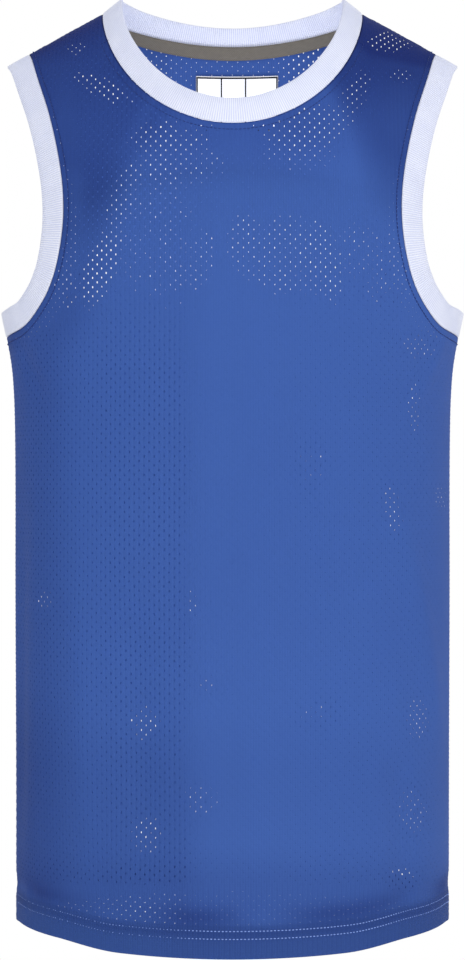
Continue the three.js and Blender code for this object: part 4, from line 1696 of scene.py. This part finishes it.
@dataclass
class Jersey:
    """The whole garment, sewn from its panels, bands, tape and label."""

    form: ClothForm
    pattern: Pattern
    finishes: Finishes
    neckband_width: float = 18.5
    neckband_stand: float = math.radians(7)
    armhole_width: float = 19.0
    hem_rows: tuple[float, float] = (13.4, 18.9)
    topstitch_in: float = 5.4
    tape_width: float = 11.5
    tape_thickness: float = 1.0
    tape_ends: float = math.radians(80)
    tape_under: float = 2.0
    tape_lap: float = 4.2
    label_size: tuple[float, float] = (66.0, 42.0)
    label_thickness: float = 0.8
    label_under: float = 2.0
    label_top: float = -18.6
    label_aside: float = 3.6

    def neck_ring(self) -> Ring:
        """The neck seam all round, front and back."""
        return self.ring_of(self.pattern.neck_seam, both_halves=True)

    def ring_of(self, line_of: Callable, both_halves: bool, half: Half = Half.LEFT) -> Ring:
        """Joins the front's and the back's lines of a seam to one ring.

        Args:
            line_of: Gives a side's line on the cloth.
            both_halves: Whether the ring goes round the middle or stays on one half.
            half: The half, where it stays on one.

        Returns:
            The ring.
        """
        parts = []
        for side in Side:
            line = resample(line_of(side), 160)
            for way in ((1, -1) if both_halves else (half.value,)):
                point, facing = self.form.place(side, line[:, 0] * way, line[:, 1])
                parts.append((point, facing))
        if both_halves:
            front_left, front_right, back_left, back_right = parts
            order = [(front_left, 1), (back_left, -1), (back_right, 1), (front_right, -1)]
        else:
            order = [(parts[0], 1), (parts[1], -1)]
        points = np.concatenate([part[0][::way][:-1] for part, way in order])
        facings = np.concatenate([part[1][::way][:-1] for part, way in order])
        return Ring(points, facings)

    def seam_row(self, panel: MeshPanel, which: Callable, distance: float, half: int) -> tuple:
        """Points of a line inside a seam, at a distance from it on the cloth."""
        line = which(panel.side) * np.array([half, 1])
        way = unit(np.gradient(line, axis=0))
        middle = np.array([0.0, -120.0])
        normal = np.stack([-way[:, 1], way[:, 0]], axis=1)
        normal *= np.where(((middle - line) * normal).sum(axis=1, keepdims=True) < 0, -1, 1)
        inner = line + normal * distance
        return self.form.place(panel.side, inner[:, 0], inner[:, 1])

    def panels(self) -> dict:
        """Makes the front and the back with their rows of stitches.

        Returns:
            The pieces made, by name.
        """
        made = self.finishes.made
        pieces = {}
        holes = MeshHoles(self.pattern)
        for side, label in ((Side.FRONT, "front"), (Side.BACK, "back")):
            panel = MeshPanel(self.pattern, holes, side, f"{label}_mesh", f"{label}_panel")
            piece = panel.build(made["mesh"])
            for number, above in enumerate(self.hem_rows, start=1):
                reach = self.pattern.side_seam(side)[0, 0] - 1
                across = np.linspace(-reach, reach, 400)
                climb = self.pattern.hem_climb(side, across) + above
                point, facing = self.form.place(side, across, climb)
                sunk = 0.1 + 0.5 * rise(across, -10, -50) + 0.35 * rise(across, 110, 140)
                point = point - facing * sunk[:, None]
                name = f"{label}_hem_stitches_{number}"
                stitching = Stitching(pitch=2.65, length=1.6, thread=0.8)
                stitching.build(name, point, facing, "mesh_cloth", made["hem_thread"])
            left, right = (
                self.seam_row(panel, self.pattern.neck_seam, self.topstitch_in, half)
                for half in (1, -1)
            )
            point = np.concatenate([left[0][::-1], right[0][1:]])
            facing = np.concatenate([left[1][::-1], right[1][1:]])
            name = f"{label}_neck_stitches"
            row = Stitching(pitch=3.0, length=2.1, thread=0.5)
            row.build(name, point, facing, "mesh_cloth", made["seam_thread"])
            row = Stitching(pitch=3.0, length=2.5, thread=0.75)
            for half in Half:
                point, facing = self.seam_row(
                    panel, self.pattern.armhole_line, self.topstitch_in, half.value
                )
                name = f"{label}_armhole_stitches_{half.name.lower()}"
                row.build(name, point, facing, "mesh_cloth", made["seam_thread"])
            pieces[piece.name] = piece
        return pieces

    def bands(self) -> None:
        """Makes the neckband and the two armhole bands."""
        made = self.finishes.made
        neck = (self.neckband_width, self.neckband_stand)
        bands = [RibBand(self.neck_ring(), "neckband_rib", "neckband", *neck)]
        for half in Half:
            ring = self.ring_of(self.pattern.armhole_line, False, half)
            word = half.name.lower()
            names = (f"armhole_rib_{word}", f"armhole_band_{word}")
            bands.append(RibBand(ring, *names, self.armhole_width))
        for band in bands:
            piece = band.build(made["rib"])

    def tape(self) -> None:
        """Makes the tape over the back neck seam, inside."""
        pattern, form = self.pattern, self.form
        turn = np.linspace(-self.tape_ends, self.tape_ends, 72)
        across = pattern.neck_half_width * np.sin(np.abs(turn))
        drop = (pattern.neck_drop[Side.BACK] - self.tape_lap) * np.cos(turn) ** 2
        top = form.seen(Side.BACK, across, pattern.neck_top - drop)
        top[:, 0] *= np.sign(turn)
        rows, facings, flat = [], [], []
        run = lengths_along(top)
        for down in np.linspace(0.3, self.tape_width, 7):
            point, facing = form.place(Side.BACK, top[:, 0], top[:, 1] - down)
            rows.append(point - facing * self.tape_under)
            facings.append(-facing)
            flat.append(np.stack([run, np.full(len(run), down)], axis=1))
        strip = Strip("neck_tape_twill", self.tape_thickness, "neck_tape", "neck_tape")
        self.lay(strip, rows, facings, flat, "tape")

    def lay(self, strip: Strip, rows, facings, flat, finish: str) -> None:
        """Makes a strip that looks into the neck.

        Args:
            strip: The strip.
            rows: Rows of points on its hidden face.
            facings: The way that its shown face looks.
            flat: Its own flat pattern.
            finish: The name of its finish.
        """
        order = (1, 0, 2)
        points = np.array(rows).transpose(order)
        normals = np.array(facings).transpose(order)
        pattern = np.array(flat).transpose(order)
        piece = strip.build(points, normals, pattern, self.finishes.made[finish])

    def label(self) -> None:
        """Makes the bare label inside the back neck, with its border lines."""
        width, height = self.label_size
        strip = Strip("neck_label_woven", self.label_thickness, "neck_label", "neck_label")
        rows, facings, flat = self.label_rows((-width / 2, width / 2), (0, height), 25, 15)
        self.lay(strip, rows, facings, flat, "label")

    def label_rows(self, across: tuple, down: tuple, columns: int, lines: int) -> tuple:
        """Rows of places on the label's ground.

        Args:
            across: Where the rows start and end, from the middle.
            down: Where they start and end, from the label's top.
            columns: How many places lie across.
            lines: How many rows there are.

        Returns:
            Points, facings and flat places.
        """
        rows, facings, flat = [], [], []
        x = np.linspace(*across, columns)
        aside = x + self.label_aside
        for one in np.linspace(*down, lines):
            place = self.form.seen(Side.BACK, np.abs(aside), np.full(columns, self.label_top - one))
            point, facing = self.form.place(Side.BACK, np.sign(aside) * place[:, 0], place[:, 1])
            rows.append(point - facing * self.label_under)
            facings.append(-facing)
            flat.append(np.stack([x, np.full(columns, one)], axis=1))
        return rows, facings, flat

    def build(self) -> None:
        """Makes every piece of the jersey in sewing order."""
        self.panels()
        self.bands()
        self.tape()
        self.label()


@dataclass
class Studio:
    """Pale floor, soft light and the camera."""

    finishes: Finishes
    distance: float = 1.8
    eye_level: float = -0.3405
    lens: float = 88.3
    floor_level: float = -1.25

    def camera(self) -> None:
        """Looks straight at the front from the eye level."""
        data = bpy.data.cameras.new("camera")
        data.lens = self.lens
        data.sensor_width = 36
        camera = bpy.data.objects.new("camera", data)
        camera.location = (0, -self.distance, self.eye_level)
        camera.rotation_euler = (math.pi / 2, 0, 0)
        bpy.context.scene.collection.objects.link(camera)
        bpy.context.scene.camera = camera

    def floor(self) -> None:
        """A round pale floor under the jersey."""
        bpy.ops.object.select_all(action="DESELECT")
        bpy.ops.mesh.primitive_circle_add(
            vertices=96, radius=2.4, fill_type="NGON", location=(0, 0.2, self.floor_level)
        )
        floor = bpy.context.active_object
        floor.name = "studio_floor"
        bpy.ops.object.transform_apply(location=True, rotation=True, scale=True)
        floor.data.materials.append(self.finishes.made["floor"])

    def light(self, name: str, place: tuple, aim: tuple, size: tuple, power: float) -> None:
        """Adds a soft box.

        Args:
            name: The light's name.
            place: Where it stands.
            aim: The point that it shines at.
            size: Its width and height.
            power: Its power in watts.
        """
        data = bpy.data.lights.new(name, "AREA")
        data.shape = "RECTANGLE"
        data.size, data.size_y = size
        data.energy = power
        lamp = bpy.data.objects.new(name, data)
        lamp.location = place
        lamp.visible_camera = False
        lamp.rotation_euler = (Vector(aim) - Vector(place)).to_track_quat("-Z", "Y").to_euler()
        bpy.context.scene.collection.objects.link(lamp)

    def ramp(self, tree, value, stops: tuple):
        """Adds a grey ramp over a range from -1 to 1, given as pairs of place and grey."""
        ramp = add_node(tree, "ShaderNodeValToRGB")
        tree.links.new(maths(tree, "MULTIPLY_ADD", value, 0.5, 0.5), ramp.inputs[0])
        made = ramp.color_ramp.elements
        for number, (place, grey) in enumerate(stops):
            at = (place + 1) / 2
            stop = made[number] if number < 2 else made.new(at)
            stop.position, stop.color = at, (grey, grey, grey, 1)
        return ramp.outputs[0]

    def world(self) -> None:
        """White backdrop wall, in a studio that is dimmer towards the wearer's right."""
        world = bpy.data.worlds.new("studio")
        bpy.context.scene.world = world
        world.use_nodes = True
        tree = world.node_tree
        tree.nodes.clear()
        where = add_node(tree, "ShaderNodeTexCoord")
        split = add_node(tree, "ShaderNodeSeparateXYZ", i0=where.outputs["Generated"])
        across, away, up = split.outputs
        height = self.ramp(tree, up, ((-1, 0.6), (1, 0.95), (0.1, 0.65), (0.5, 0.75)))
        side = self.ramp(tree, across, ((-1, 0.75), (1, 1.0), (-0.3, 0.78)))
        around = ((-1, 0.95), (1, 0.95), (0.1, 0.66), (0.45, 0.95), (-0.3, 0.7))
        behind = self.ramp(tree, away, around)
        wall = self.ramp(tree, away, ((0.84, 0.0), (0.9, 1.0)))
        grey = maths(tree, "MULTIPLY", maths(tree, "MULTIPLY", height, side), behind)
        grey = maths(tree, "MAXIMUM", maths(tree, "MULTIPLY", grey, 1.6), wall)
        back = add_node(tree, "ShaderNodeBackground", {"Strength": 1.0}, Color=grey)
        add_node(tree, "ShaderNodeOutputWorld", Surface=back.outputs[0])

    def build(self) -> None:
        """Sets the whole studio up."""
        self.camera()
        self.floor()
        self.world()
        self.light("front_softbox", (-0.3, -2.7, -0.3), (0, 0, -0.3), (2.0, 2.2), 31)
        self.light("side_softbox", (2.2, -1.3, -0.9), (0, 0, -0.45), (1.2, 1.2), 14)
        self.light("fill_softbox", (-1.6, -2.3, -0.6), (0, 0, -0.4), (1.2, 1.6), 4)
        self.light("inner_bounce", (0, -0.03, -0.17), (0, 0.08, 0.02), (0.12, 0.12), 0.24)
        scene = bpy.context.scene
        scene.view_settings.view_transform = "Standard"
        scene.view_settings.look = "None"


def main() -> None:
    """Builds the jersey and its studio; the panels and bands log their sizes."""
    logging.basicConfig(level=logging.INFO, format="%(name)s %(message)s")
    bpy.ops.object.select_all(action="DESELECT")
    form = ClothForm()
    pattern = Pattern(form)
    finishes = Finishes()
    Studio(finishes).build()
    Jersey(form, pattern, finishes).build()


if __name__ == "__main__":
    main()
